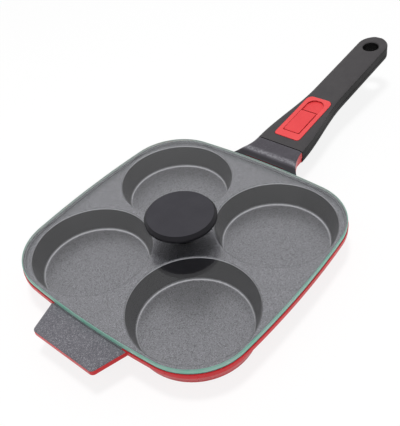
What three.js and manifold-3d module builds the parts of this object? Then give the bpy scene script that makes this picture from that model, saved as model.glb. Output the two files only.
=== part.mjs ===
// Four-cup egg pan with a flat glass lid and a pull-off handle.
// Millimetres, +Z up. The handle points along +X and the helper tab along -X.
import * as THREE from 'three';
import { mergeVertices } from 'three/addons/utils/BufferGeometryUtils.js';
import Module from 'manifold-3d';

const wasm = await Module();
wasm.setup();

// Fits
const GAP = 0.3; // clearance between two pieces that touch
const REACH = 60; // how far a cutting tool runs past what it cuts

// Facets of round forms, each counted for a full turn or for the stretch that is named
const CUP_FACETS = 36;
const KNOB_FACETS = 24;
const SCREW_FACETS = 16;
const GLASS_HOLE_FACETS = 20;
const HANG_HOLE_FACETS = 32;
const PAN_SIDE_FACETS = 6;
const PAN_CORNER_FACETS = 12;
const LOBE_FACETS = 24;
const NOTCH_FACETS = 8;
const BEZEL_CORNER_FACETS = 6;
const WELL_END_FACETS = 12;
const HANDLE_SIDES = 28; // points round the handle's section
const HANDLE_TAPER_STEPS = 10;
const HANDLE_END_STEPS = 8;
const STUB_STEPS = 12;
const BLOCK_STEPS = 4; // rounded end of the block under the stub

// Deck and rim
const PAN_HALF = 104; // centre to the middle of a side
const RIM_LAND = 7; // deck between a cup's rim and the pan's side
const PAN_CORNER_R = 42;
const PAN_SIDE_R = 720; // the sides bow out slightly
const DECK_T = 3.4;
const EDGE_BEVEL = 0.6;
const FUSE = 1.7; // overlap of two forms that are cast in one
const BEAD_W = 3; // raised rim that the lid rests on
const BEAD_H = 1;

// Cups, which share what the rim leaves of the deck
const CUP_WEB = 6; // deck between the rims of two cups
const CUP_RIM_R = (PAN_HALF - RIM_LAND - CUP_WEB / 2) / 2;
const CUP_OFFSET = CUP_RIM_R + CUP_WEB / 2; // each cup's axis from the pan's centre, along X and Y
const CUP_DRAFT = 5; // rim radius less floor radius
const CUP_FLOOR_R = CUP_RIM_R - CUP_DRAFT;
const CUP_DEPTH = 19.4;
const CUP_RIM_ROUND = 1.2;
const CUP_FLOOR_ROUND = 1.6;
const CUP_WALL = 2.5;

// Foot and steel base plate
const NOTCH_INSET = 0.5; // the notch between two lobes ends this far inside the line of the cups' axes
const FOOT_BORDER = 3.2; // casting outside the plate
const FOOT_BEVEL = 1.5;
const FLOOR_T = 3.2; // metal under a cup, the plate's bed included
const PLATE_T = 0.8;
const PLATE_PROUD = 0.4; // plate below the casting, so that the pan stands on steel
const RECESS_R = 23; // hollow under the middle of the deck, at its mouth
const PLATE_HOLE_BORDER = 1; // casting shown inside the plate's hole
const RECESS_DRAFT = 2;
const RECESS_ROOF = 1.6; // metal left above the hollow, on top of the deck's thickness
const DIMPLE_CLEARANCE = 1.5; // round the washer, in the well that clears the knob's screw
const DIMPLE_DEPTH = 6.5;
const DIMPLE_DRAFT = 2;
const DIMPLE_WALL = 2.8;

// Helper tab
const TAB_LENGTH = 23.5; // beyond the rim
const TAB_ROOT_HALF = 38;
const TAB_END_HALF = 29.5;
const TAB_T = 5;
const TAB_ROUND = 3.5;
const TAB_BURIED = 4.2; // tab inside the rim

// Handle outline, measured in the handle's own tilted frame
const HANDLE_STANDOFF = 27; // rim to the front of the plastic
const HANDLE_RISE = 6.5; // deck to the handle's top at its front
const HANDLE_SLOPE = 0.11;
const HANDLE_LENGTH = 176;
const FRONT_HALF = 22.4;
const GRIP_HALF = 14.4;
const TAPER_LENGTH = 80;
const CROWN = 6; // widest line below the top
const BELLY = 10; // underside below the widest line
const CROWN_POWER = 4;
const BELLY_POWER = 2.6;
const END_LENGTH = 14; // rounded end in plan
const END_EDGE = 5; // rounded end in side view
const END_POWER = 2.5;
const END_TURN = 80; // degrees of the end's round before its flat tip
const HANG_R = 7.4;
const HANG_INSET = 17; // hanging hole's centre from the handle's end
const HANG_CHAMFER = 1;

// Cast stub and tongue
const STUB_OFFSET = 2; // rim to where the flare meets it
const STUB_FLARE = 10; // extra half width there
const STUB_FLARE_POWER = 2.2;
const STUB_BURIED = 11; // stub inside the deck
const STUB_BELLY = 1.6; // flared top below its widest line
const BLOCK_OFFSET = 3; // rim to the end of the deep block under the flare
const BLOCK_EASE = 5; // stretch over which the block rises to that end
const BLOCK_INSET = 0.8; // block inside the flare's outline
const BLOCK_END_BELLY = 7;
const STEP_LENGTH = 8; // sloped face between the rim and the stub's top
const STEP_OFFSET = 1; // rim to the foot of that face
const TONGUE_HALF = 10.4;
const TONGUE_LENGTH = 40;
const TONGUE_T = 4.2;
const TONGUE_ROUND = 3;
const TONGUE_ROOT = 3; // tongue inside the stub

// Handle shells
const PARTING = 8; // joint between the shells, below the top
const POCKET_SET_BACK = 7; // lightening pocket in the grip, from the screws at its ends
const POCKET_HALF = 9;
const POCKET_WALL = 3; // plastic above and below the pockets
const SCREW_R = 1.4;
const SCREW_HEAD_R = 2.2;
const SCREW_HEAD_T = 1.6;
const SCREW_HEAD_DEEP = 12.3; // top of a screw head, below the handle's top
const SCREW_TIP = 3; // screw tip below the handle's top
const SCREW_WALL = 0.8; // plastic between the tongue's channel and a front screw's head
const FRONT_SCREW_INSET = 6; // front screws from the tongue's end
const MIDDLE_SCREW_OFFSET = 6.2; // middle screw from the bezel's end
const REAR_SCREW_INSET = 33; // rear screw from the handle's end

// Release key, its bezel and the clamp under it
const BEZEL_START = 9.8;
const BEZEL_LENGTH = 57;
const BEZEL_FRONT_HALF = 12.1;
const BEZEL_REAR_HALF = 11.7;
const BEZEL_FRONT_ROUND = 3;
const BEZEL_REAR_ROUND = 5.5;
const BEZEL_PROUD = 0.5;
const BEZEL_DEPTH = 2.6; // bezel's underside below the handle's top
const BEZEL_EDGE = 0.4;
const WELL_FRONT_BORDER = 7.3; // bezel before and behind the well that the key slides in
const WELL_REAR_BORDER = 3;
const WELL_HALF = 8.2;
const WELL_FLOOR = 1; // below the handle's top
const WELL_ROUND = 1.2;
const KEY_LENGTH = 29.1;
const KEY_PROUD = 0.9;
const KEY_TRAVEL = 9;
const KEY_EDGE = 0.3;
const CARRIAGE_INSET = 1.9; // carriage from the well's front
const CARRIAGE_LENGTH = 25;
const CARRIAGE_HALF = 9.2;
const CARRIAGE_T = 1.4; // at the middle of the wedge
const POST_INSET = 8; // post that carries the key through the bezel, from the carriage's front
const POST_LENGTH = 10;
const POST_HALF = 2.9;
const LUG_LENGTH = 2.4; // spring seat at the carriage's rear
const LUG_CLEARANCE = 0.8; // lug to the shells' joint
const WEDGE_SLOPE = 0.08;
const DOVETAIL_T = 1.2;
const DOVETAIL_BURIED = 0.4; // rib inside the carriage
const DOVETAIL_ROOT_HALF = 2.2;
const DOVETAIL_END_HALF = 3.4;
const SHOE_INSET = 3; // shoe from the carriage's front
const SHOE_LENGTH = 14;
const SHOE_HALF = 8;
const BAY_CLEARANCE = 0.6; // beside the carriage, in the bay under the bezel
const BAY_FRONT_BORDER = 5.2; // bezel before and behind the bay
const BAY_REAR_BORDER = 4.5;
const SPRING_R = 1.6;
const SPRING_WIRE_R = 0.35;
const SPRING_TURNS = 8;
const SPRING_STEPS = 8; // per turn
const SPRING_SIDES = 5;

// Lid and knob
const GLASS_T = 4;
const GLASS_INSET = 0.6; // lid inside the pan's outline
const GLASS_EDGE = 0.7;
const GLASS_HOLE_CLEARANCE = 1; // round the knob's screw
const KNOB_HEIGHT = 19.6; // above the glass
const KNOB_R = 27.4;
const KNOB_TOP_INSET = 0.8; // top face inside the widest line
const KNOB_UNDER_INSET = 3.4;
const KNOB_T = 7.2;
const KNOB_TOP_BEVEL = 1;
const KNOB_UNDER_BEVEL = 2.4;
const STEM_BASE_R = 10;
const STEM_BASE_T = 2;
const STEM_WAIST_R = 7.5;
const STEM_WAIST_ROUND = 3;
const STEM_TOP_R = 11.5;
const STEM_SPIGOT_R = 5;
const STEM_SPIGOT = 3; // spigot inside the cap
const GASKET_T = 1;
const WASHER_R = 7.5;
const WASHER_T = 1.2;
const KNOB_SCREW_R = 2.4;
const KNOB_SCREW_LENGTH = 14; // from under its head
const KNOB_SCREW_HEAD_R = 4.6;
const KNOB_SCREW_HEAD_T = 2.6;

// Levels worked out from the sizes above
const FOOT_Z = PLATE_PROUD;
const FLOOR_Z = FOOT_Z + FLOOR_T;
const DECK_Z = FLOOR_Z + CUP_DEPTH;
const BEAD_Z = DECK_Z + BEAD_H;
const GLASS_Z = BEAD_Z + GAP;
const GLASS_TOP_Z = GLASS_Z + GLASS_T;
const TILT = Math.atan(HANDLE_SLOPE);
const TONGUE_TOP = PARTING + GAP;
const SOCKET_FLOOR = TONGUE_TOP + TONGUE_T + GAP;
const CARRIAGE_TOP = BEZEL_DEPTH + GAP;
const LUG_DEPTH = PARTING - LUG_CLEARANCE;

// Radii and stations worked out from the sizes above
const LOBE_R = CUP_FLOOR_R + CUP_WALL - FOOT_BORDER; // a lobe of the plate under each cup
const NOTCH_END = CUP_OFFSET - NOTCH_INSET;
const PLATE_HOLE_R = RECESS_R + PLATE_HOLE_BORDER;
const DIMPLE_R = WASHER_R + DIMPLE_CLEARANCE;
const STUB_ROOT = HANDLE_STANDOFF - STUB_OFFSET; // handle front back to where the flare meets the rim
const BLOCK_ROOT = HANDLE_STANDOFF - BLOCK_OFFSET;
const BEZEL_END = BEZEL_START + BEZEL_LENGTH;
const WELL_START = BEZEL_START + WELL_FRONT_BORDER;
const WELL_END = BEZEL_END - WELL_REAR_BORDER;
const BAY_FRONT = BEZEL_START + BAY_FRONT_BORDER;
const BAY_REAR = BEZEL_END - BAY_REAR_BORDER;
const BAY_HALF = CARRIAGE_HALF + BAY_CLEARANCE;
const CARRIAGE_START = WELL_START + CARRIAGE_INSET;
const POST_START = CARRIAGE_START + POST_INSET;
const SHOE_START = CARRIAGE_START + SHOE_INSET;
const WEDGE_MIDDLE = SHOE_START + SHOE_LENGTH / 2;
const FRONT_SCREW_U = TONGUE_LENGTH - FRONT_SCREW_INSET;
const FRONT_SCREW_V = TONGUE_HALF + SCREW_WALL + SCREW_HEAD_R + 2 * GAP;
const MIDDLE_SCREW_U = BEZEL_END + MIDDLE_SCREW_OFFSET;
const REAR_SCREW_U = HANDLE_LENGTH - REAR_SCREW_INSET;
const POCKET_START = MIDDLE_SCREW_U + POCKET_SET_BACK;
const POCKET_END = REAR_SCREW_U - POCKET_SET_BACK;
const HANDLE_FRAME = new THREE.Matrix4()
  .makeRotationY(-TILT)
  .setPosition(PAN_HALF + HANDLE_STANDOFF, 0, DECK_Z + HANDLE_RISE);

const { sin, cos, abs, sqrt, atan2, PI, sign, acos, tan } = Math;
const point = (x, y) => new THREE.Vector2(x, y);

/** Points along an arc, both ends included. */
function arc(x, y, radius, from, to, steps) {
  return Array.from({ length: steps + 1 }, (_, i) => {
    const angle = from + ((to - from) * i) / steps;
    return point(x + radius * cos(angle), y + radius * sin(angle));
  });
}

/** Outline of straight sides whose corners, given as [x, y, radius], are rounded. */
function rounded(corners, steps = 3) {
  return corners.flatMap(([x, y, radius = 0], i) => {
    const corner = point(x, y);
    if (radius === 0) return [corner];
    const before = point(...corners.at(i - 1)).sub(corner).normalize();
    const after = point(...corners[(i + 1) % corners.length]).sub(corner).normalize();
    const half = acos(before.dot(after)) / 2;
    const inward = before.clone().add(after).normalize();
    const centre = inward.multiplyScalar(radius / sin(half)).add(corner);
    const start = before.multiplyScalar(radius / tan(half)).add(corner).sub(centre).angle();
    const end = after.multiplyScalar(radius / tan(half)).add(corner).sub(centre).angle();
    const turn = atan2(sin(end - start), cos(end - start));
    return arc(centre.x, centre.y, radius, start, start + turn, steps);
  });
}

/** Outline points turned about the origin, without a repeat where two stretches meet. */
function quarterTurns(stretches) {
  const outline = [];
  for (let quarter = 0; quarter < 4; quarter += 1) {
    for (const stretch of stretches) {
      for (const spot of stretch.slice(0, -1)) {
        outline.push(spot.clone().rotateAround(point(0, 0), (quarter * PI) / 2));
      }
    }
  }
  return outline;
}

/** The pan's plan outline: four bowed sides and four round corners, drawn in by an inset. */
function panOutline(inset = 0) {
  const sideCentre = PAN_SIDE_R - PAN_HALF;
  const reach = PAN_SIDE_R - PAN_CORNER_R;
  const corner = (sqrt(2 * reach ** 2 - sideCentre ** 2) - sideCentre) / 2;
  const turn = atan2(corner, corner + sideCentre);
  const side = arc(-sideCentre, 0, PAN_SIDE_R - inset, -turn, turn, PAN_SIDE_FACETS);
  const bend = arc(corner, corner, PAN_CORNER_R - inset, turn, PI / 2 - turn, PAN_CORNER_FACETS);
  return quarterTurns([side, bend]);
}

/** The four-lobed outline of the base plate, grown by a border. */
function flowerOutline(border = 0) {
  const setBack = NOTCH_END - CUP_OFFSET;
  const notchR = (setBack ** 2 + CUP_OFFSET ** 2 - LOBE_R ** 2) / (2 * (LOBE_R - setBack));
  const notchX = NOTCH_END + notchR;
  const lean = atan2(notchX - CUP_OFFSET, CUP_OFFSET);
  const lobeR = LOBE_R + border;
  const lobe = arc(CUP_OFFSET, CUP_OFFSET, lobeR, lean - PI / 2, PI - lean, LOBE_FACETS);
  const notch = arc(0, notchX, notchR - border, -lean, lean - PI, NOTCH_FACETS);
  return quarterTurns([lobe, notch]);
}

const circle = (radius, steps) => arc(0, 0, radius, 0, 2 * PI, steps).slice(0, -1);

/** Slab of an outline between two heights, with its edges rounded off by a bevel. */
function slab(outline, low, high, bevel = 0, hole = null) {
  const shape = new THREE.Shape(outline);
  if (hole) shape.holes.push(new THREE.Path(hole));
  const geometry = new THREE.ExtrudeGeometry(shape, {
    depth: high - low - 2 * bevel,
    bevelEnabled: bevel > 0,
    bevelSize: bevel,
    bevelThickness: bevel,
    bevelOffset: -bevel,
    bevelSegments: 1,
  });
  return geometry.translate(0, 0, low + bevel);
}

/** Slab of an outline drawn in side view (X, Z), across the given half width. */
function sideSlab(outline, half) {
  const geometry = slab(outline, -half, half);
  return geometry.rotateX(PI / 2);
}

/** Turned piece about Z from its profile of [radius, height, corner radius]. */
function turned(corners, facets) {
  const profile = rounded(corners, 2);
  const onAxis = profile[0].x === 0;
  if (!onAxis) profile.push(profile[0].clone());
  return new THREE.LatheGeometry(profile, facets).rotateX(PI / 2);
}

/** Closed skin over rings of points that all have the same count. */
function loft(rings) {
  const count = rings[0].length;
  const vertices = rings.flat();
  const faces = [];
  for (let ring = 0; ring + 1 < rings.length; ring += 1) {
    for (let i = 0; i < count; i += 1) {
      const a = ring * count + i;
      const b = ring * count + ((i + 1) % count);
      faces.push(a, b, a + count, b, b + count, a + count);
    }
  }
  const last = (rings.length - 1) * count;
  for (let i = 1; i + 1 < count; i += 1) {
    faces.push(0, i + 1, i, last, last + i, last + i + 1);
  }
  const geometry = new THREE.BufferGeometry().setFromPoints(vertices);
  geometry.setIndex(faces);
  return geometry;
}

/** Solid for joining and cutting, from a closed geometry. */
function solid(geometry) {
  const bare = geometry.clone();
  bare.deleteAttribute('normal');
  bare.deleteAttribute('uv');
  const merged = mergeVertices(bare, 1e-4);
  const index = merged.index.array;
  const kept = [];
  for (let i = 0; i < index.length; i += 3) {
    const [a, b, c] = [index[i], index[i + 1], index[i + 2]];
    if (a !== b && b !== c && c !== a) kept.push(a, b, c);
  }
  return new wasm.Manifold(new wasm.Mesh({
    numProp: 3,
    vertProperties: new Float32Array(merged.attributes.position.array),
    triVerts: new Uint32Array(kept),
  }));
}

const join = (...geometries) => geometries.map(solid).reduce((all, next) => all.add(next));

/** Geometry of a finished solid, with flat faces. */
function skin(body) {
  const { vertProperties, triVerts } = body.getMesh();
  const geometry = new THREE.BufferGeometry();
  geometry.setAttribute('position', new THREE.BufferAttribute(vertProperties, 3));
  geometry.setIndex(new THREE.BufferAttribute(triVerts, 1));
  geometry.computeVertexNormals();
  return geometry;
}

const FINISH = {
  castMetal: { color: 0x77777c, roughness: 0.6, metalness: 0.1 },
  steel: { color: 0xc9cacc, roughness: 0.35, metalness: 1 },
  glass: { color: 0xbcd8d0, roughness: 0.03, metalness: 0, transparent: true, opacity: 0.35 },
  blackPlastic: { color: 0x2b2b2e, roughness: 0.45, metalness: 0 },
  gripPlastic: { color: 0x555456, roughness: 0.5, metalness: 0 },
  redPlastic: { color: 0xec5350, roughness: 0.4, metalness: 0 },
  rubber: { color: 0x3a3a3c, roughness: 0.8, metalness: 0 },
};

/** Named piece from a geometry or a finished solid. */
function piece(name, form, finish) {
  const geometry = form.isBufferGeometry ? form : skin(form);
  const mesh = new THREE.Mesh(geometry, new THREE.MeshStandardMaterial(FINISH[finish]));
  mesh.name = name;
  return mesh;
}

// Pan: one casting with its cups, foot, tab, stub and tongue

/** Section of the handle at a station: a flat crown above the widest line, a belly below. */
function handleRing(u, half, crown, belly) {
  const power = (value, exponent) => sign(value) * abs(value) ** (2 / exponent);
  return Array.from({ length: HANDLE_SIDES }, (_, i) => {
    const angle = (2 * PI * i) / HANDLE_SIDES;
    const above = sin(angle) >= 0;
    const exponent = above ? CROWN_POWER : BELLY_POWER;
    const height = (above ? crown : belly) * power(sin(angle), exponent);
    return new THREE.Vector3(u, half * power(cos(angle), exponent), height - CROWN);
  });
}

const easeInOut = (t) => THREE.MathUtils.smoothstep(t, 0, 1);

/** Half width of the handle along its length, without its rounded end. */
function handleHalf(u) {
  return GRIP_HALF + (FRONT_HALF - GRIP_HALF) * easeInOut(1 - u / TAPER_LENGTH);
}

/** Whole outer form of the handle, from its flat front to its rounded end. */
function handleForm() {
  const rings = [];
  const endStart = HANDLE_LENGTH - END_LENGTH;
  for (let i = 0; i <= HANDLE_TAPER_STEPS; i += 1) {
    const u = (TAPER_LENGTH * i) / HANDLE_TAPER_STEPS;
    rings.push(handleRing(u, handleHalf(u), CROWN, BELLY));
  }
  for (let i = 0; i <= HANDLE_END_STEPS; i += 1) {
    const angle = (THREE.MathUtils.degToRad(END_TURN) * i) / HANDLE_END_STEPS;
    const u = endStart + END_LENGTH * sin(angle);
    const into = Math.max(0, (u - HANDLE_LENGTH + END_EDGE) / END_EDGE);
    const squeeze = (1 - into ** END_POWER) ** (1 / END_POWER);
    const half = handleHalf(u) * cos(angle) ** (2 / END_POWER);
    rings.push(handleRing(u, half, CROWN * squeeze, BELLY * squeeze));
  }
  return loft(rings);
}

/** Flared top of the cast stub, which carries the handle's crown back into the rim. */
function stubForm() {
  const rings = [];
  const start = -STUB_ROOT - STUB_BURIED;
  for (let i = 0; i <= STUB_STEPS; i += 1) {
    const u = start + ((-GAP - start) * i) / STUB_STEPS;
    const flare = STUB_FLARE * (-u / STUB_ROOT) ** STUB_FLARE_POWER;
    rings.push(handleRing(u, FRONT_HALF + flare, CROWN, STUB_BELLY));
  }
  return loft(rings).applyMatrix4(HANDLE_FRAME);
}

/** Deep block under the stub, with about the handle's section, whose end rises towards the rim. */
function blockForm() {
  const across = (u, belly) => handleRing(u, FRONT_HALF - BLOCK_INSET, CROWN - BLOCK_INSET, belly);
  const rings = [];
  for (let i = 0; i <= BLOCK_STEPS; i += 1) {
    const turn = ((PI / 2) * i) / BLOCK_STEPS;
    const u = -BLOCK_ROOT + BLOCK_EASE * (1 - cos(turn));
    rings.push(across(u, BLOCK_END_BELLY + (BELLY - BLOCK_END_BELLY) * sin(turn)));
  }
  rings.push(across(-GAP, BELLY));
  return loft(rings).applyMatrix4(HANDLE_FRAME);
}

/** Space above the deck and rim that the lid needs, with the sloped face of the stub's step. */
function lidSpace() {
  const stepFoot = PAN_HALF + STEP_OFFSET;
  const stepTop = stepFoot + STEP_LENGTH;
  const stepTopZ = DECK_Z + HANDLE_RISE + HANDLE_SLOPE * (stepTop - PAN_HALF - HANDLE_STANDOFF);
  return sideSlab([
    point(0, DECK_Z),
    point(PAN_HALF - BEAD_W, DECK_Z),
    point(PAN_HALF - BEAD_W, BEAD_Z),
    point(stepFoot, BEAD_Z),
    point(stepTop, stepTopZ),
    point(stepTop, DECK_Z + REACH),
    point(0, DECK_Z + REACH),
  ], PAN_HALF);
}

/** Flat tongue that the handle's socket slides over. */
function tongueForm() {
  const outline = rounded([
    [-TONGUE_ROOT, -TONGUE_HALF],
    [TONGUE_LENGTH, -TONGUE_HALF, TONGUE_ROUND],
    [TONGUE_LENGTH, TONGUE_HALF, TONGUE_ROUND],
    [-TONGUE_ROOT, TONGUE_HALF],
  ]);
  return slab(outline, -TONGUE_TOP - TONGUE_T, -TONGUE_TOP).applyMatrix4(HANDLE_FRAME);
}

/** Helper tab opposite the handle. */
function tabForm() {
  const outline = rounded([
    [-PAN_HALF + TAB_BURIED, TAB_ROOT_HALF],
    [-PAN_HALF - TAB_LENGTH, TAB_END_HALF, TAB_ROUND],
    [-PAN_HALF - TAB_LENGTH, -TAB_END_HALF, TAB_ROUND],
    [-PAN_HALF + TAB_BURIED, -TAB_ROOT_HALF],
  ]);
  return slab(outline, DECK_Z - TAB_T, DECK_Z, EDGE_BEVEL);
}

/** Calls a maker for each of the four cups and moves its geometry to that cup. */
function atCups(make) {
  const signs = [[1, 1], [-1, 1], [-1, -1], [1, -1]];
  return signs.map(([x, y]) => make().translate(x * CUP_OFFSET, y * CUP_OFFSET, 0));
}

/** Outside of a cup's wall, from the foot up to the deck. */
function cupWall() {
  return turned([
    [0, FOOT_Z + FOOT_BEVEL],
    [LOBE_R + FOOT_BORDER, FOOT_Z + FOOT_BEVEL],
    [CUP_RIM_R + CUP_WALL, DECK_Z - DECK_T + FUSE],
    [0, DECK_Z - DECK_T + FUSE],
  ], CUP_FACETS);
}

/** Space inside a cup, with its rounded floor edge and rim. */
function cupSpace() {
  return turned([
    [0, FLOOR_Z],
    [CUP_FLOOR_R, FLOOR_Z, CUP_FLOOR_ROUND],
    [CUP_RIM_R, DECK_Z, CUP_RIM_ROUND],
    [CUP_RIM_R + CUP_WALL, DECK_Z],
    [CUP_RIM_R + CUP_WALL, DECK_Z + REACH],
    [0, DECK_Z + REACH],
  ], CUP_FACETS);
}

/** Hollow under the middle of the deck, round the underside of the dimple. */
function middleSpace() {
  const roof = DECK_Z - DECK_T - RECESS_ROOF;
  const dimpleEnd = DECK_Z - DIMPLE_DEPTH - DIMPLE_WALL;
  return turned([
    [0, FOOT_Z - REACH],
    [RECESS_R, FOOT_Z - REACH],
    [RECESS_R, FOOT_Z],
    [RECESS_R - RECESS_DRAFT, roof, RECESS_DRAFT],
    [DIMPLE_R + DIMPLE_WALL, roof, RECESS_DRAFT],
    [DIMPLE_R + DIMPLE_WALL - DIMPLE_DRAFT, dimpleEnd, DIMPLE_DRAFT],
    [0, dimpleEnd],
  ], CUP_FACETS);
}

/** Well in the middle of the deck for the screw head under the lid. */
function dimpleSpace() {
  return turned([
    [0, DECK_Z - DIMPLE_DEPTH],
    [DIMPLE_R - DIMPLE_DRAFT, DECK_Z - DIMPLE_DEPTH, DIMPLE_DRAFT],
    [DIMPLE_R, DECK_Z],
    [DIMPLE_R, DECK_Z + REACH],
    [0, DECK_Z + REACH],
  ], CUP_FACETS);
}

function panCasting() {
  const stub = join(stubForm(), blockForm()).subtract(solid(lidSpace()));
  const deck = slab(panOutline(), DECK_Z - DECK_T, BEAD_Z, EDGE_BEVEL);
  const foot = slab(flowerOutline(FOOT_BORDER), FOOT_Z, DECK_Z - DECK_T + FUSE, FOOT_BEVEL);
  const dished = slab(panOutline(BEAD_W), DECK_Z, DECK_Z + REACH);
  const plateBed = slab(flowerOutline(GAP), FOOT_Z - REACH, PLATE_T + GAP);
  return join(deck, foot, ...atCups(cupWall))
    .subtract(solid(dished))
    .add(stub)
    .add(solid(tongueForm()))
    .add(solid(tabForm()))
    .subtract(join(...atCups(cupSpace)))
    .subtract(join(middleSpace(), dimpleSpace()))
    .subtract(solid(plateBed));
}

const basePlate = () => slab(flowerOutline(), 0, PLATE_T, 0, circle(PLATE_HOLE_R, CUP_FACETS));

// Lid: glass plate with a knob screwed through it

function glassLid() {
  const pane = slab(panOutline(GLASS_INSET), GLASS_Z, GLASS_TOP_Z, GLASS_EDGE);
  const holeR = KNOB_SCREW_R + GLASS_HOLE_CLEARANCE;
  const hole = slab(circle(holeR, GLASS_HOLE_FACETS), 0, GLASS_TOP_Z + REACH);
  return solid(pane).subtract(solid(hole));
}

/** Turned piece of the knob, its heights counted from a given level. */
function knobTurned(level, corners, facets = KNOB_FACETS) {
  return turned(corners, facets).translate(0, 0, level);
}

const KNOB_TOP_Z = GLASS_TOP_Z + KNOB_HEIGHT;
const CAP_Z = KNOB_TOP_Z - KNOB_T;
const STEM_Z = GLASS_TOP_Z + GASKET_T + 2 * GAP;
const STEM_SHOULDER_Z = CAP_Z - GAP;
const LOWER_GASKET_Z = GLASS_Z - GAP - GASKET_T;
const WASHER_Z = LOWER_GASKET_Z - GAP - WASHER_T;
const SCREW_HEAD_Z = WASHER_Z - GAP;
const KNOB_SCREW_HOLE_R = KNOB_SCREW_R + GAP;

const knobCap = () => knobTurned(CAP_Z, [
  [STEM_SPIGOT_R + GAP, 0],
  [KNOB_R - KNOB_UNDER_INSET, 0],
  [KNOB_R, KNOB_UNDER_BEVEL, KNOB_UNDER_BEVEL / 2],
  [KNOB_R, KNOB_T - KNOB_TOP_BEVEL, KNOB_TOP_BEVEL / 2],
  [KNOB_R - KNOB_TOP_INSET, KNOB_T],
  [0, KNOB_T],
  [0, STEM_SPIGOT + GAP],
  [STEM_SPIGOT_R + GAP, STEM_SPIGOT + GAP],
], CUP_FACETS);

function knobStem() {
  const height = STEM_SHOULDER_Z - STEM_Z;
  const threadTop = SCREW_HEAD_Z + KNOB_SCREW_LENGTH + GAP - STEM_Z;
  return knobTurned(STEM_Z, [
    [KNOB_SCREW_HOLE_R, 0],
    [STEM_BASE_R, 0],
    [STEM_BASE_R, STEM_BASE_T],
    [STEM_WAIST_R, height / 2, STEM_WAIST_ROUND],
    [STEM_TOP_R, height],
    [STEM_SPIGOT_R, height],
    [STEM_SPIGOT_R, height + STEM_SPIGOT],
    [0, height + STEM_SPIGOT],
    [0, threadTop],
    [KNOB_SCREW_HOLE_R, threadTop],
  ]);
}

/** Flat ring of the knob's stack, round its screw. */
const ring = (level, radius, thickness) => knobTurned(level, [
  [KNOB_SCREW_HOLE_R, 0],
  [radius, 0],
  [radius, thickness],
  [KNOB_SCREW_HOLE_R, thickness],
]);

const knobScrew = () => knobTurned(SCREW_HEAD_Z, [
  [0, -KNOB_SCREW_HEAD_T],
  [KNOB_SCREW_HEAD_R, -KNOB_SCREW_HEAD_T, KNOB_SCREW_HEAD_T / 2],
  [KNOB_SCREW_HEAD_R, 0],
  [KNOB_SCREW_R, 0],
  [KNOB_SCREW_R, KNOB_SCREW_LENGTH],
  [0, KNOB_SCREW_LENGTH],
]);

// Handle: two shells, a release key in a bezel and the wedge clamp, in the tilted frame

const bezelOutline = (grow) => rounded([
  [BEZEL_START - grow, -BEZEL_FRONT_HALF - grow, BEZEL_FRONT_ROUND + grow],
  [BEZEL_END + grow, -BEZEL_REAR_HALF - grow, BEZEL_REAR_ROUND + grow],
  [BEZEL_END + grow, BEZEL_REAR_HALF + grow, BEZEL_REAR_ROUND + grow],
  [BEZEL_START - grow, BEZEL_FRONT_HALF + grow, BEZEL_FRONT_ROUND + grow],
], BEZEL_CORNER_FACETS);

/** Straight-sided outline between two stations. */
const strip = (start, end, half) => [
  point(start, -half), point(end, -half), point(end, half), point(start, half),
];

const SCREW_SPOTS = {
  shell_screw_left: [FRONT_SCREW_U, FRONT_SCREW_V],
  shell_screw_right: [FRONT_SCREW_U, -FRONT_SCREW_V],
  shell_screw_middle: [MIDDLE_SCREW_U, 0],
  shell_screw_rear: [REAR_SCREW_U, 0],
};

/** Shell screw, or with a clearance the stepped hole that it goes through. */
function screwForm([u, v], clearance, below) {
  return turned([
    [0, -SCREW_HEAD_DEEP - below],
    [SCREW_HEAD_R + clearance, -SCREW_HEAD_DEEP - below],
    [SCREW_HEAD_R + clearance, -SCREW_HEAD_DEEP + clearance],
    [SCREW_R + clearance, -SCREW_HEAD_DEEP + clearance],
    [SCREW_R + clearance, -SCREW_TIP + clearance],
    [0, -SCREW_TIP + clearance],
  ], SCREW_FACETS).translate(u, v, 0);
}

/** Everything both shells are cut by: the hanging hole and the screw holes. */
function sharedCuts() {
  const bottom = -CROWN - BELLY;
  const flare = HANG_R + HANG_CHAMFER;
  const hole = turned([
    [0, bottom - REACH],
    [flare + REACH, bottom - REACH],
    [flare, bottom],
    [HANG_R, bottom + HANG_CHAMFER],
    [HANG_R, -HANG_CHAMFER],
    [flare, 0],
    [flare + REACH, REACH],
    [0, REACH],
  ], HANG_HOLE_FACETS).translate(HANDLE_LENGTH - HANG_INSET, 0, 0);
  const holes = Object.values(SCREW_SPOTS).map((spot) => screwForm(spot, GAP, REACH));
  return join(hole, ...holes);
}

const pocketOutline = () => rounded([
  [POCKET_START, -POCKET_HALF, POCKET_HALF / 2],
  [POCKET_END, -POCKET_HALF, POCKET_HALF / 2],
  [POCKET_END, POCKET_HALF, POCKET_HALF / 2],
  [POCKET_START, POCKET_HALF, POCKET_HALF / 2],
]);

const everywhere = (low, high) => solid(slab(strip(-REACH, 2 * HANDLE_LENGTH, REACH), low, high));

function upperShell() {
  const recess = slab(bezelOutline(GAP), -CARRIAGE_TOP, REACH);
  const bay = slab(strip(BAY_FRONT, BAY_REAR, BAY_HALF), -PARTING - REACH, REACH);
  const pocket = slab(pocketOutline(), -PARTING - REACH, -POCKET_WALL);
  return solid(handleForm())
    .intersect(everywhere(-PARTING + GAP / 2, REACH))
    .subtract(sharedCuts())
    .subtract(join(recess, bay, pocket));
}

function lowerShell() {
  const channel = strip(-REACH, TONGUE_LENGTH + GAP, TONGUE_HALF + GAP);
  const socket = slab(channel, -SOCKET_FLOOR, REACH);
  const pocket = slab(pocketOutline(), POCKET_WALL - CROWN - BELLY, REACH);
  return solid(handleForm())
    .intersect(everywhere(-REACH, -PARTING - GAP / 2))
    .subtract(sharedCuts())
    .subtract(join(socket, pocket));
}

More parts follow.
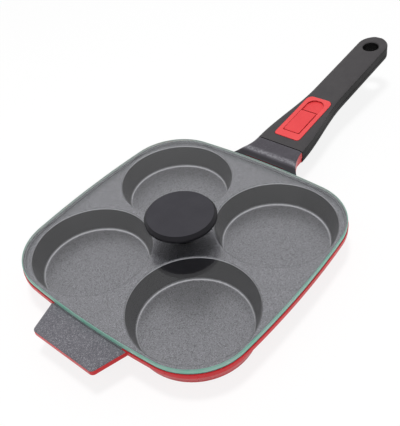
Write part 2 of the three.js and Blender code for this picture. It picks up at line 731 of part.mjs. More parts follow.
/** The well's outline: square at the front and half round at the rear. */
function wellOutline() {
  const middle = WELL_END - WELL_HALF;
  return [
    ...rounded([
      [middle, WELL_HALF],
      [WELL_START, WELL_HALF, WELL_ROUND],
      [WELL_START, -WELL_HALF, WELL_ROUND],
      [middle, -WELL_HALF],
    ]).slice(1, -1),
    ...arc(middle, 0, WELL_HALF, -PI / 2, PI / 2, WELL_END_FACETS),
  ];
}

function releaseBezel() {
  const plate = slab(bezelOutline(0), -BEZEL_DEPTH, BEZEL_PROUD, BEZEL_EDGE);
  const well = slab(wellOutline(), -WELL_FLOOR, REACH);
  const slotEnd = POST_START + POST_LENGTH + KEY_TRAVEL + GAP;
  const slot = slab(strip(POST_START - GAP, slotEnd, POST_HALF + GAP), -REACH, REACH);
  return solid(plate).subtract(join(well, slot));
}

function releaseKey() {
  const start = WELL_START + GAP;
  const half = WELL_HALF - GAP;
  const outline = rounded([
    [start, -half, WELL_ROUND],
    [start + KEY_LENGTH, -half, WELL_ROUND],
    [start + KEY_LENGTH, half, WELL_ROUND],
    [start, half, WELL_ROUND],
  ]);
  return slab(outline, GAP - WELL_FLOOR, KEY_PROUD, KEY_EDGE);
}

/** Height of the wedge's sloping face at a station, below the handle's top. */
const wedge = (u) => -CARRIAGE_TOP - CARRIAGE_T - WEDGE_SLOPE * (u - WEDGE_MIDDLE);

/** Sloping dovetail rib under the carriage, or with a clearance the groove for it. */
function dovetail(start, end, clearance) {
  const rootHalf = DOVETAIL_ROOT_HALF + clearance;
  const endHalf = DOVETAIL_END_HALF + clearance;
  const across = (u, low) => {
    const level = wedge(u) + DOVETAIL_BURIED;
    const foot = wedge(u) - low;
    return [[rootHalf, level], [-rootHalf, level], [-endHalf, foot], [endHalf, foot]]
      .map(([v, w]) => new THREE.Vector3(u, v, w));
  };
  const depth = DOVETAIL_T + clearance;
  return loft([across(start, depth), across(end, depth)]);
}

function keyCarriage() {
  const end = CARRIAGE_START + CARRIAGE_LENGTH;
  const lug = end - LUG_LENGTH;
  const body = sideSlab([
    point(CARRIAGE_START, -CARRIAGE_TOP),
    point(CARRIAGE_START, wedge(CARRIAGE_START)),
    point(lug, wedge(lug)),
    point(lug, -LUG_DEPTH),
    point(end, -LUG_DEPTH),
    point(end, -CARRIAGE_TOP),
  ], CARRIAGE_HALF);
  const postOutline = strip(POST_START, POST_START + POST_LENGTH, POST_HALF);
  const post = slab(postOutline, -CARRIAGE_TOP - CARRIAGE_T / 2, -WELL_FLOOR);
  return join(body, post, dovetail(CARRIAGE_START, lug + LUG_LENGTH / 2, 0));
}

function clampShoe() {
  const end = SHOE_START + SHOE_LENGTH;
  const block = sideSlab([
    point(SHOE_START, wedge(SHOE_START) - GAP),
    point(SHOE_START, -TONGUE_TOP + GAP),
    point(end, -TONGUE_TOP + GAP),
    point(end, wedge(end) - GAP),
  ], SHOE_HALF);
  return solid(block).subtract(solid(dovetail(SHOE_START - GAP, end + GAP, GAP)));
}

/** Least distance between points of a coil that lie at least some steps apart along it. */
function leastSpacing(spots, apart) {
  const spacings = spots.slice(apart).map((spot, i) => (
    Math.min(...spots.slice(0, i + 1).map((earlier) => earlier.distanceTo(spot)))
  ));
  return Math.min(...spacings);
}

/** Coil spring behind the carriage, one unbroken tube with closed ends. */
function keySpring() {
  const start = CARRIAGE_START + CARRIAGE_LENGTH + GAP + SPRING_WIRE_R;
  const end = BAY_REAR - GAP - SPRING_WIRE_R;
  const axis = -(CARRIAGE_TOP + LUG_DEPTH) / 2;
  const count = SPRING_TURNS * SPRING_STEPS;
  const at = (i) => {
    const angle = (2 * PI * i) / SPRING_STEPS;
    const u = start + ((end - start) * i) / count;
    return new THREE.Vector3(u, SPRING_R * sin(angle), axis + SPRING_R * cos(angle));
  };
  const spots = Array.from({ length: count + 1 }, (_, i) => at(i));
  const rings = spots.map((spot, i) => {
    const outward = new THREE.Vector3(0, spot.y, spot.z - axis).normalize();
    const along = at(i + 0.5).sub(at(i - 0.5)).normalize();
    const across = along.clone().cross(outward);
    return Array.from({ length: SPRING_SIDES }, (_, k) => {
      const angle = (2 * PI * k) / SPRING_SIDES;
      return spot.clone()
        .addScaledVector(outward, SPRING_WIRE_R * cos(angle))
        .addScaledVector(across, SPRING_WIRE_R * sin(angle));
    });
  });
  const gap = leastSpacing(spots, SPRING_STEPS / 2) - 2 * SPRING_WIRE_R;
  console.log(`spring: least gap to itself ${gap.toFixed(2)} mm`);
  return loft(rings);
}

// Assembly

const pan = new THREE.Group();
pan.add(
  piece('pan_casting', panCasting(), 'castMetal'),
  piece('base_plate', basePlate(), 'steel'),
);

const lid = new THREE.Group();
lid.add(
  piece('glass_lid', glassLid(), 'glass'),
  piece('knob_cap', knobCap(), 'blackPlastic'),
  piece('knob_stem', knobStem(), 'blackPlastic'),
  piece('knob_upper_gasket', ring(GLASS_TOP_Z + GAP, STEM_BASE_R, GASKET_T), 'rubber'),
  piece('knob_lower_gasket', ring(LOWER_GASKET_Z, WASHER_R, GASKET_T), 'rubber'),
  piece('knob_washer', ring(WASHER_Z, WASHER_R, WASHER_T), 'steel'),
  piece('knob_screw', knobScrew(), 'steel'),
);

const handle = new THREE.Group();
handle.applyMatrix4(HANDLE_FRAME);
handle.add(
  piece('handle_upper_shell', upperShell(), 'gripPlastic'),
  piece('handle_lower_shell', lowerShell(), 'gripPlastic'),
  piece('release_bezel', releaseBezel(), 'redPlastic'),
  piece('release_key', releaseKey(), 'redPlastic'),
  piece('key_carriage', keyCarriage(), 'blackPlastic'),
  piece('clamp_shoe', clampShoe(), 'steel'),
  piece('key_spring', keySpring(), 'steel'),
);
for (const [name, spot] of Object.entries(SCREW_SPOTS)) {
  handle.add(piece(name, screwForm(spot, 0, SCREW_HEAD_T), 'steel'));
}

// The origin is on the surface that the pan stands on, under the middle of its whole length
const eggPan = new THREE.Group();
eggPan.add(pan, lid, handle);
eggPan.updateMatrixWorld(true);
const extent = new THREE.Box3().setFromObject(eggPan, true);
eggPan.position.x = -(extent.min.x + extent.max.x) / 2;

export default eggPan;
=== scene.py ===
"""Looks of a four-cup egg pan with a glass lid and a pull-off handle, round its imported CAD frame.

Sizes are in metres. The pan and the lid are modelled about the pan's middle, the handle about the top of
its front end, and each finished piece is then put where the frame has it.
"""

import logging
import math
from collections.abc import Callable, Iterator, Sequence
from contextlib import contextmanager
from dataclasses import dataclass
from enum import Enum

import bmesh
import bpy
from mathutils import Matrix, Vector

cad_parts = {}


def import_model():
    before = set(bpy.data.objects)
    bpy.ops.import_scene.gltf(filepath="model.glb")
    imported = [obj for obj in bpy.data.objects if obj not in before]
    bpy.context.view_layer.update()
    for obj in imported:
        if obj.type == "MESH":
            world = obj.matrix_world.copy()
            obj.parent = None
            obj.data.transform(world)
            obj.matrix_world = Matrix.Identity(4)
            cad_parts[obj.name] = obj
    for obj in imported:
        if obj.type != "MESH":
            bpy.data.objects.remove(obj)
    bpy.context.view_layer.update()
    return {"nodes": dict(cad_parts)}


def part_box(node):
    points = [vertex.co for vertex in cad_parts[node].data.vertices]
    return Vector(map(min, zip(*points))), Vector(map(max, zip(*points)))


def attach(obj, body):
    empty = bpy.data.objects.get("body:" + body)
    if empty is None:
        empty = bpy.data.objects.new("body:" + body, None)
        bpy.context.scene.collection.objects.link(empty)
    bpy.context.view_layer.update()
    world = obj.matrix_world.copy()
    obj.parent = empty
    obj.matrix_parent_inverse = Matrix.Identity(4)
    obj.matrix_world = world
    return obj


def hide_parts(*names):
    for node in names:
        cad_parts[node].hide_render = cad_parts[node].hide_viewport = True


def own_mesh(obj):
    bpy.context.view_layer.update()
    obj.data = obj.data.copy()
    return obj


LOG = logging.getLogger("egg_pan")
MM = 0.001
CLEARANCE = 0.3 * MM  # between two pieces that touch
MERGE = 0.002 * MM
TOUCH = 0.02 * MM  # how near a point lies to the level or corner it belongs to
REACH = 60 * MM  # how far a cutting tool runs past what it cuts
CREASE = math.radians(20)  # least turn between two faces at an edge that can be bevelled
FACING_UP = 0.9  # least upward share of a top face's normal
FLAT = 0.99  # least upright share of a flat face's normal beside rounded edges
LEVEL_SLOPE = 0.01  # largest upright share of a level edge's direction
EVEN = 1e-6  # largest change of a section that is left out
NOISE_CORE = (0.25, 0.75)  # bounds of a noise that colours and roughness follow
NOISE_WHOLE = (0.2, 0.8)
ROUND_STEPS = 5
WIDE_ROUND = 2.5 * MM  # a larger radius takes twice the steps
TURN_STEPS = 96
WHITE = (1.0, 1.0, 1.0, 1.0)
IMAGE_WIDTH = 400
IMAGE_HEIGHT = 426

Piece = bpy.types.Object
Material = bpy.types.Material
Tree = bpy.types.NodeTree
Node = bpy.types.Node
Socket = bpy.types.NodeSocket
Inputs = dict[str | int, object]
Test = Callable[[Vector, Vector], bool]
Colour = tuple[float, float, float, float]


class Grab(Enum):
    """What a selection in edit mode takes."""

    VERTICES = "VERT"
    EDGES = "EDGE"
    FACES = "FACE"


class Join(Enum):
    """How a second solid changes the first."""

    ADD = "UNION"
    CUT = "DIFFERENCE"


class Effect(Enum):
    """Surface effects that several finishes share."""

    GRAIN = "fine_grain"
    MOTTLE = "soft_mottle"


@dataclass(frozen=True)
class Corner:
    """A corner of a drawn outline or profile, with the radius that rounds it."""

    x: float
    y: float
    radius: float = 0.0


@dataclass(frozen=True)
class Arc:
    """A stroke along a circle, anticlockwise where its turn is positive."""

    x: float
    y: float
    turn: float
    steps: int


@dataclass(frozen=True)
class Station:
    """One section along a loft: its place, half width, and height above and below its widest line."""

    along: float
    half: float
    rise: float
    drop: float


def srgb(red: int, green: int, blue: int) -> Colour:
    """Gives the linear colour of three sRGB values from 0 to 255.

    Args:
        red: Red value.
        green: Green value.
        blue: Blue value.

    Returns:
        The colour with an alpha of 1.
    """
    parts = [value / 255 for value in (red, green, blue)]
    linear = [p / 12.92 if p <= 0.04045 else ((p + 0.055) / 1.055) ** 2.4 for p in parts]
    return (linear[0], linear[1], linear[2], 1.0)


def ease(share: float) -> float:
    """Eases a share from 0 to 1 in and out."""
    held = min(1.0, max(0.0, share))
    return held * held * (3.0 - 2.0 * held)


def select_only(piece: Piece) -> None:
    """Selects one piece alone and makes it the active one.

    Args:
        piece: The piece.
    """
    bpy.ops.object.select_all(action="DESELECT")
    piece.select_set(True)
    bpy.context.view_layer.objects.active = piece


@contextmanager
def editing(piece: Piece) -> Iterator[None]:
    """Holds one piece in edit mode, with all of it selected at first.

    Args:
        piece: The piece to shape.

    Yields:
        Nothing; the piece is back in object mode afterwards.
    """
    select_only(piece)
    bpy.ops.object.mode_set(mode="EDIT")
    bpy.ops.mesh.select_mode(type="VERT")
    bpy.ops.mesh.select_all(action="SELECT")
    yield
    bpy.ops.object.mode_set(mode="OBJECT")


def grab(piece: Piece, kind: Grab, test: Test) -> None:
    """Selects the parts of a piece in edit mode that pass a test.

    Args:
        piece: The piece in edit mode.
        kind: Whether vertices, creased edges or faces are taken.
        test: Called with a part's middle, and with its normal or, for an edge, its direction.
    """
    bpy.ops.mesh.select_mode(type=kind.value)
    bpy.ops.mesh.select_all(action="DESELECT")
    mesh = bmesh.from_edit_mesh(piece.data)
    if kind is Grab.EDGES:
        for edge in mesh.edges:
            start, end = (vertex.co for vertex in edge.verts)
            creased = edge.calc_face_angle(0.0) > CREASE
            if creased and test((start + end) / 2, (end - start).normalized()):
                edge.select_set(True)
    elif kind is Grab.FACES:
        for face in mesh.faces:
            if test(face.calc_center_median(), face.normal):
                face.select_set(True)
    else:
        for vertex in mesh.verts:
            if test(vertex.co, vertex.normal):
                vertex.select_set(True)
        mesh.select_flush(True)
    bmesh.update_edit_mesh(piece.data)


def start_at(name: str, spot: Vector) -> Piece:
    """Adds a mesh of a single vertex, from which strokes are drawn.

    Args:
        name: Name of the new piece.
        spot: Where its vertex lies.

    Returns:
        The piece.
    """
    bpy.ops.object.select_all(action="DESELECT")
    bpy.ops.mesh.primitive_plane_add(size=MM, location=(0, 0, 0))
    piece = bpy.context.object
    piece.name = name
    piece.data.name = name
    with editing(piece):
        bpy.ops.mesh.merge(type="CENTER")
        bpy.ops.transform.translate(value=spot)
    return piece


def stroke_by(step: Vector) -> None:
    """Draws a straight edge from the selected vertex of the piece in edit mode."""
    bpy.ops.mesh.extrude_region_move(TRANSFORM_OT_translate={"value": step})


def clean(inside: bool = False) -> None:
    """Merges the doubles of the piece in edit mode and turns its faces outwards, or inwards.

    Args:
        inside: True where the faces turn inwards.
    """
    bpy.ops.mesh.select_mode(type="VERT")
    bpy.ops.mesh.select_all(action="SELECT")
    bpy.ops.mesh.remove_doubles(threshold=MERGE)
    bpy.ops.mesh.normals_make_consistent(inside=inside)


def round_corners(piece: Piece, corners: Sequence[Corner], upright: bool, closed: bool) -> None:
    """Rounds the drawn corners of a piece in edit mode, one by one.

    Args:
        piece: The piece in edit mode.
        corners: All corners in the order in which they were drawn.
        upright: True where they were drawn in XZ, and not in XY.
        closed: True where the last corner leads back to the first.
    """
    for index, corner in enumerate(corners):
        if corner.radius <= 0:
            continue
        before = corners[index - 1]
        after = corners[(index + 1) % len(corners)]
        if not closed and index in (0, len(corners) - 1):
            continue
        to_before = Vector((before.x - corner.x, before.y - corner.y))
        to_after = Vector((after.x - corner.x, after.y - corner.y))
        reach = corner.radius / math.tan(to_before.angle(to_after) / 2)

        def at_corner(spot: Vector, _: Vector, corner: Corner = corner) -> bool:
            """Tells whether a vertex is the corner's."""
            second = spot.z if upright else spot.y
            return abs(spot.x - corner.x) < TOUCH and abs(second - corner.y) < TOUCH

        grab(piece, Grab.VERTICES, at_corner)
        steps = ROUND_STEPS if corner.radius < WIDE_ROUND else 2 * ROUND_STEPS
        bpy.ops.mesh.bevel(offset=reach, segments=steps, affect="VERTICES")


def draw_polygon(name: str, corners: Sequence[Corner], level: float) -> Piece:
    """Draws a flat face in XY from its corners and rounds them.

    Args:
        name: Name of the new piece.
        corners: Corners in order.
        level: Height of the face.

    Returns:
        The piece, which holds one face.
    """
    piece = start_at(name, Vector((corners[0].x, corners[0].y, level)))
    with editing(piece):
        for here, there in zip(corners, [*corners[1:], corners[0]]):
            stroke_by(Vector((there.x - here.x, there.y - here.y, 0)))
        clean()
        bpy.ops.mesh.edge_face_add()
        round_corners(piece, corners, upright=False, closed=True)
    return piece


def draw_arcs(name: str, start: tuple[float, float], arcs: Sequence[Arc], level: float) -> Piece:
    """Draws a flat face in XY whose outline is a chain of arcs.

    Args:
        name: Name of the new piece.
        start: Where the first arc starts.
        arcs: Arcs in order, the last of which ends at the start.
        level: Height of the face.

    Returns:
        The piece, which holds one face.
    """
    piece = start_at(name, Vector((*start, level)))
    with editing(piece):
        for arc in arcs:
            # With no window a spin turns clockwise for a positive angle
            centre = (arc.x, arc.y, level)
            bpy.ops.mesh.spin(steps=arc.steps, angle=-arc.turn, center=centre, axis=(0, 0, 1))
        clean()
        bpy.ops.mesh.edge_face_add()
    return piece


def raise_face(piece: Piece, height: float) -> Piece:
    """Extrudes a flat face upwards into a closed slab.

    Args:
        piece: The piece that holds the face.
        height: How far the face is drawn up.

    Returns:
        The same piece.
    """
    with editing(piece):
        bpy.ops.mesh.extrude_region_move(TRANSFORM_OT_translate={"value": (0, 0, height)})
        clean()
    return piece


def slab(name: str, corners: Sequence[Corner], low: float, high: float) -> Piece:
    """Makes a slab of a cornered outline between two levels."""
    return raise_face(draw_polygon(name, corners, low), high - low)


def oblong(start: float, end: float, half: float, radius: float = 0.0) -> list[Corner]:
    """Gives the corners of an oblong about X, all rounded alike."""
    return [Corner(x, y, radius) for x, y in ((start, -half), (end, -half), (end, half), (start, half))]


def strip(name: str, along: tuple[float, float], half: float, levels: tuple[float, float]) -> Piece:
    """Makes a straight-sided block between two stations and two levels."""
    return slab(name, oblong(*along, half), *levels)


def soften(piece: Piece, width: float, test: Test, steps: int = 3) -> None:
    """Bevels the edges of a piece that pass a test.

    Args:
        piece: The piece.
        width: Width of the bevel.
        test: Called with an edge's middle and direction.
        steps: Segments of the bevel.
    """
    with editing(piece):
        grab(piece, Grab.EDGES, test)
        bpy.ops.mesh.bevel(offset=width, segments=steps, affect="EDGES")


def level_edges(level: float) -> Test:
    """Gives a test for the edges that lie at one level.

    Args:
        level: Height of the edges.

    Returns:
        The test.
    """

    def lies_there(middle: Vector, along: Vector) -> bool:
        """Tells whether an edge lies at the level."""
        return abs(middle.z - level) < TOUCH and abs(along.z) < LEVEL_SLOPE

    return lies_there


def turned(name: str, corners: Sequence[Corner], steps: int = TURN_STEPS, closed: bool = False) -> Piece:
    """Turns a profile of (radius, height) about Z.

    Args:
        name: Name of the new piece.
        corners: Corners of the profile, from axis to axis unless it is closed.
        steps: Facets round the axis.
        closed: True for a ring, whose profile closes on itself.

    Returns:
        The piece.
    """
    piece = start_at(name, Vector((corners[0].x, 0, corners[0].y)))
    ends = [*corners[1:], corners[0]] if closed else corners[1:]
    with editing(piece):
        for here, there in zip(corners, ends):
            stroke_by(Vector((there.x - here.x, 0, there.y - here.y)))
        clean()
        round_corners(piece, corners, upright=True, closed=closed)
        bpy.ops.mesh.select_all(action="SELECT")
        bpy.ops.mesh.spin(steps=steps, angle=2 * math.pi, center=(0, 0, 0), axis=(0, 0, 1))
        clean()
    return piece


def drill(name: str, radius: float, steps: int = TURN_STEPS) -> Piece:
    """Makes the tool for a plain round hole about Z."""
    ends = ((0, -REACH), (radius, -REACH), (radius, REACH), (0, REACH))
    return turned(name, [Corner(*end) for end in ends], steps)


def loft(name: str, stations: Sequence[Station], crown_round: float, belly_round: float) -> Piece:
    """Draws a rounded section along X, with its own width and heights at each station.

    Args:
        name: Name of the new piece.
        stations: Stations in order along X; widest lines lie at a height of 0.
        crown_round: Rounding of the upper corners, as a share of the half width and rise.
        belly_round: Rounding of the lower corners, likewise.

    Returns:
        The piece, closed at both ends.
    """
    bpy.ops.object.select_all(action="DESELECT")
    bpy.ops.mesh.primitive_plane_add(size=2, rotation=(math.pi / 2, 0, math.pi / 2))
    piece = bpy.context.object
    piece.name = name
    piece.data.name = name
    bpy.ops.object.transform_apply(location=False, rotation=True, scale=False)
    with editing(piece):
        for sign, share in ((1, crown_round), (-1, belly_round)):
            grab(piece, Grab.VERTICES, lambda spot, _, sign=sign: spot.z * sign > 1 - TOUCH)
            bpy.ops.mesh.bevel(offset=share, segments=2 * ROUND_STEPS, affect="VERTICES")
        bpy.ops.mesh.select_all(action="SELECT")
        bpy.ops.transform.translate(value=(stations[0].along, 0, 0))
        last = Station(stations[0].along, 1.0, 1.0, 1.0)
        for index, station in enumerate(stations):
            if index > 0:
                step = station.along - last.along
                bpy.ops.mesh.extrude_region_move(TRANSFORM_OT_translate={"value": (step, 0, 0)})
            reshape_section(piece, last, station)
            last = station
        clean()
    return piece


def reshape_section(piece: Piece, last: Station, station: Station) -> None:
    """Scales the newest section of a loft from the last station's sizes to its own.

    Args:
        piece: The loft in edit mode.
        last: Sizes that the section has.
        station: Place and sizes that it gets.
    """
    pivot = (station.along, 0, 0)
    changes = ((1, station.rise / last.rise), (-1, station.drop / last.drop))
    for sign, change in changes:
        if abs(change - 1) > EVEN:
            grab(
                piece,
                Grab.VERTICES,
                lambda spot, _, sign=sign: abs(spot.x - station.along) < TOUCH and spot.z * sign > 0,
            )
            bpy.ops.transform.resize(value=(1, 1, change), center_override=pivot)
    grab(piece, Grab.VERTICES, lambda spot, _: abs(spot.x - station.along) < TOUCH)
    bpy.ops.transform.resize(value=(1, station.half / last.half, 1), center_override=pivot)


def shift(piece: Piece, step: tuple[float, float, float]) -> Piece:
    """Moves all of a piece's mesh and gives the piece back.

    Args:
        piece: The piece.
        step: How far its mesh moves.

    Returns:
        The same piece.
    """
    with editing(piece):
        bpy.ops.transform.translate(value=step)
    return piece


def twin_of(piece: Piece) -> Piece:
    """Copies a piece.

    Args:
        piece: The piece to copy.

    Returns:
        The copy, with a mesh of its own.
    """
    twin = piece.copy()
    twin.data = piece.data.copy()
    bpy.context.scene.collection.objects.link(twin)
    return twin


def spread(piece: Piece, spots: Sequence[tuple[float, float]]) -> Piece:
    """Copies a piece to several spots in plan and joins the copies into one.

    Args:
        piece: The piece, modelled about the origin.
        spots: Where its copies go.

    Returns:
        The piece that holds them all.
    """
    copies = [shift(twin_of(piece), (x, y, 0)) for x, y in spots]
    bpy.data.objects.remove(piece)
    select_only(copies[0])
    for twin in copies[1:]:
        twin.select_set(True)
    bpy.ops.object.join()
    return copies[0]


def combine(piece: Piece, tool: Piece, way: Join) -> None:
    """Joins a tool's solid to a piece, or cuts it out of the piece, and removes the tool.

    Args:
        piece: The piece that changes.
        tool: The other solid.
        way: Whether it is added or cut.
    """
    select_only(piece)
    step = piece.modifiers.new("step", "BOOLEAN")
    step.operation = way.value
    step.object = tool
    step.solver = "MANIFOLD"
    bpy.ops.object.modifier_apply(modifier=step.name)
    bpy.data.objects.remove(tool)


def smooth(piece: Piece, angle: float = 32.0) -> None:
    """Shades a piece smooth apart from its edges sharper than an angle in degrees.

    Args:
        piece: The piece.
        angle: Least angle of an edge that stays sharp, in degrees.
    """
    select_only(piece)
    bpy.ops.object.shade_smooth_by_angle(angle=math.radians(angle))
    even = piece.modifiers.new("even", "WEIGHTED_NORMAL")
    even.keep_sharp = True
    bpy.ops.object.modifier_apply(modifier=even.name)


def finish_in(piece: Piece, *finishes: Material) -> None:
    """Gives a piece its material slots, without the empty one that a cut leaves.

    Args:
        piece: The piece.
        finishes: Its materials in the order of their slots.
    """
    piece.data.materials.clear()
    for finish in finishes:
        piece.data.materials.append(finish)


def paint(piece: Piece, index: int, test: Test) -> None:
    """Gives the faces that pass a test one of the piece's materials.

    Args:
        piece: The piece.
        index: Which of its material slots.
        test: Called with a face's middle and normal.
    """
    with editing(piece):
        grab(piece, Grab.FACES, test)
        piece.active_material_index = index
        bpy.ops.object.material_slot_assign()


class Wiring:
    """Adds nodes to one node tree, sets them and links them."""

    def __init__(self, tree: Tree) -> None:
        """Takes the tree that the nodes go into."""
        self.tree = tree

    def add(self, kind: str, inputs: Inputs | None = None, **settings: object) -> Node:
        """Adds a node, with plain values or linked outputs on its inputs.

        Args:
            kind: Node type without its ShaderNode prefix.
            inputs: Values or output sockets by input name or number.
            settings: Attributes of the node.

        Returns:
            The node.
        """
        node = self.tree.nodes.new("ShaderNode" + kind)
        for name, value in settings.items():
            setattr(node, name, value)
        self.feed(node, inputs or {})
        return node

    def math(self, operation: str, first: object, second: object = 0.0) -> Socket:
        """Adds a Math node and gives its result."""
        return self.add("Math", {0: first, 1: second}, operation=operation).outputs[0]

    def blend(self, share: object, first: object, second: object) -> Socket:
        """Adds a colour mix and gives its result."""
        node = self.add("Mix", {0: share, 6: first, 7: second}, data_type="RGBA")
        return node.outputs[2]

    def mix(self, share: object, first: object, second: object) -> Socket:
        """Adds a mix of two numbers and gives its result."""
        return self.add("Mix", {0: share, 2: first, 3: second}).outputs[0]

    def window(
        self, value: object, low: float, high: float, first: float = 0.0, second: float = 1.0
    ) -> Socket:
        """Adds a smooth step of a value between two bounds and gives its result."""
        inputs = {"Value": value, "From Min": low, "From Max": high, "To Min": first, "To Max": second}
        return self.add("MapRange", inputs, interpolation_type="SMOOTHSTEP").outputs[0]

    def bump(self, strength: float, distance: float, height: Socket) -> Socket:
        """Adds a bump and gives its normal."""
        return self.add("Bump", {"Strength": strength, "Distance": distance, "Height": height}).outputs[0]

    def effect(self, effect: Effect, scale: float, low: float = 0.3, high: float = 0.7) -> Node:
        """Places the node group of a shared effect, with the bounds of its mask."""
        inputs = {"Scale": scale, "Low": low, "High": high}
        return self.add("Group", inputs, node_tree=effect_group(effect))

    def sight(self, path: Node) -> Socket:
        """Tells rays that are seen from those that only light, also behind glass."""
        return self.math("MAXIMUM", path.outputs["Is Camera Ray"], path.outputs["Is Transmission Ray"])

    def show(self, share: object, first: Node, second: Node) -> None:
        """Makes a mix of two shaders the material's surface.

        Args:
            share: Share of the second shader.
            first: The first shader.
            second: The second shader.
        """
        both = self.add("MixShader", {0: share, 1: first.outputs[0], 2: second.outputs[0]})
        output = next(node for node in self.tree.nodes if node.type == "OUTPUT_MATERIAL")
        self.feed(output, {"Surface": both.outputs[0]})

    def feed(self, node: Node, inputs: Inputs) -> None:
        """Sets or links a node's inputs.

        Args:
            node: The node.
            inputs: Values or output sockets by input name or number.
        """
        for name, value in inputs.items():
            if isinstance(value, Socket):
                self.tree.links.new(value, node.inputs[name])
            else:
                node.inputs[name].default_value = value


def effect_group(effect: Effect) -> Tree:
    """Gives the node group of a shared effect, and builds it where it isn't there yet.

    Args:
        effect: Which effect.

    Returns:
        The group's tree, with Scale, Low and High in and Mask and Height out.
    """
    found = bpy.data.node_groups.get(effect.value)
    if found:
        return found
    tree = bpy.data.node_groups.new(effect.value, "ShaderNodeTree")
    for name, value in (("Scale", 1000.0), ("Low", 0.4), ("High", 0.6)):
        socket = tree.interface.new_socket(name, in_out="INPUT", socket_type="NodeSocketFloat")
        socket.default_value = value
    for name in ("Mask", "Height"):
        tree.interface.new_socket(name, in_out="OUTPUT", socket_type="NodeSocketFloat")
    wiring = Wiring(tree)
    given = tree.nodes.new("NodeGroupInput")
    result = tree.nodes.new("NodeGroupOutput")
    place = wiring.add("TexCoord").outputs["Object"]
    detail, roughness = (2.0, 0.55) if effect is Effect.GRAIN else (5.0, 0.65)
    inputs = {"Vector": place, "Scale": given.outputs["Scale"], "Detail": detail, "Roughness": roughness}
    noise = wiring.add("TexNoise", inputs).outputs[0]
    bounds = {"Value": noise, "From Min": given.outputs["Low"], "From Max": given.outputs["High"]}
    mask = wiring.add("MapRange", bounds, interpolation_type="SMOOTHSTEP").outputs[0]
    tree.links.new(mask, result.inputs["Mask"])
    tree.links.new(noise, result.inputs["Height"])
    return tree


def new_material(name: str) -> tuple[Material, Wiring, Node]:
    """Makes a material with a bare Principled shader.

    Args:
        name: Name of the material.

    Returns:
        The material, the wiring of its tree, and the shader.
    """
    material = bpy.data.materials.new(name)
    material.use_nodes = True
    material.node_tree.nodes.clear()
    wiring = Wiring(material.node_tree)
    shader = wiring.add("BsdfPrincipled")
    wiring.add("OutputMaterial", {"Surface": shader.outputs[0]})
    return material, wiring, shader


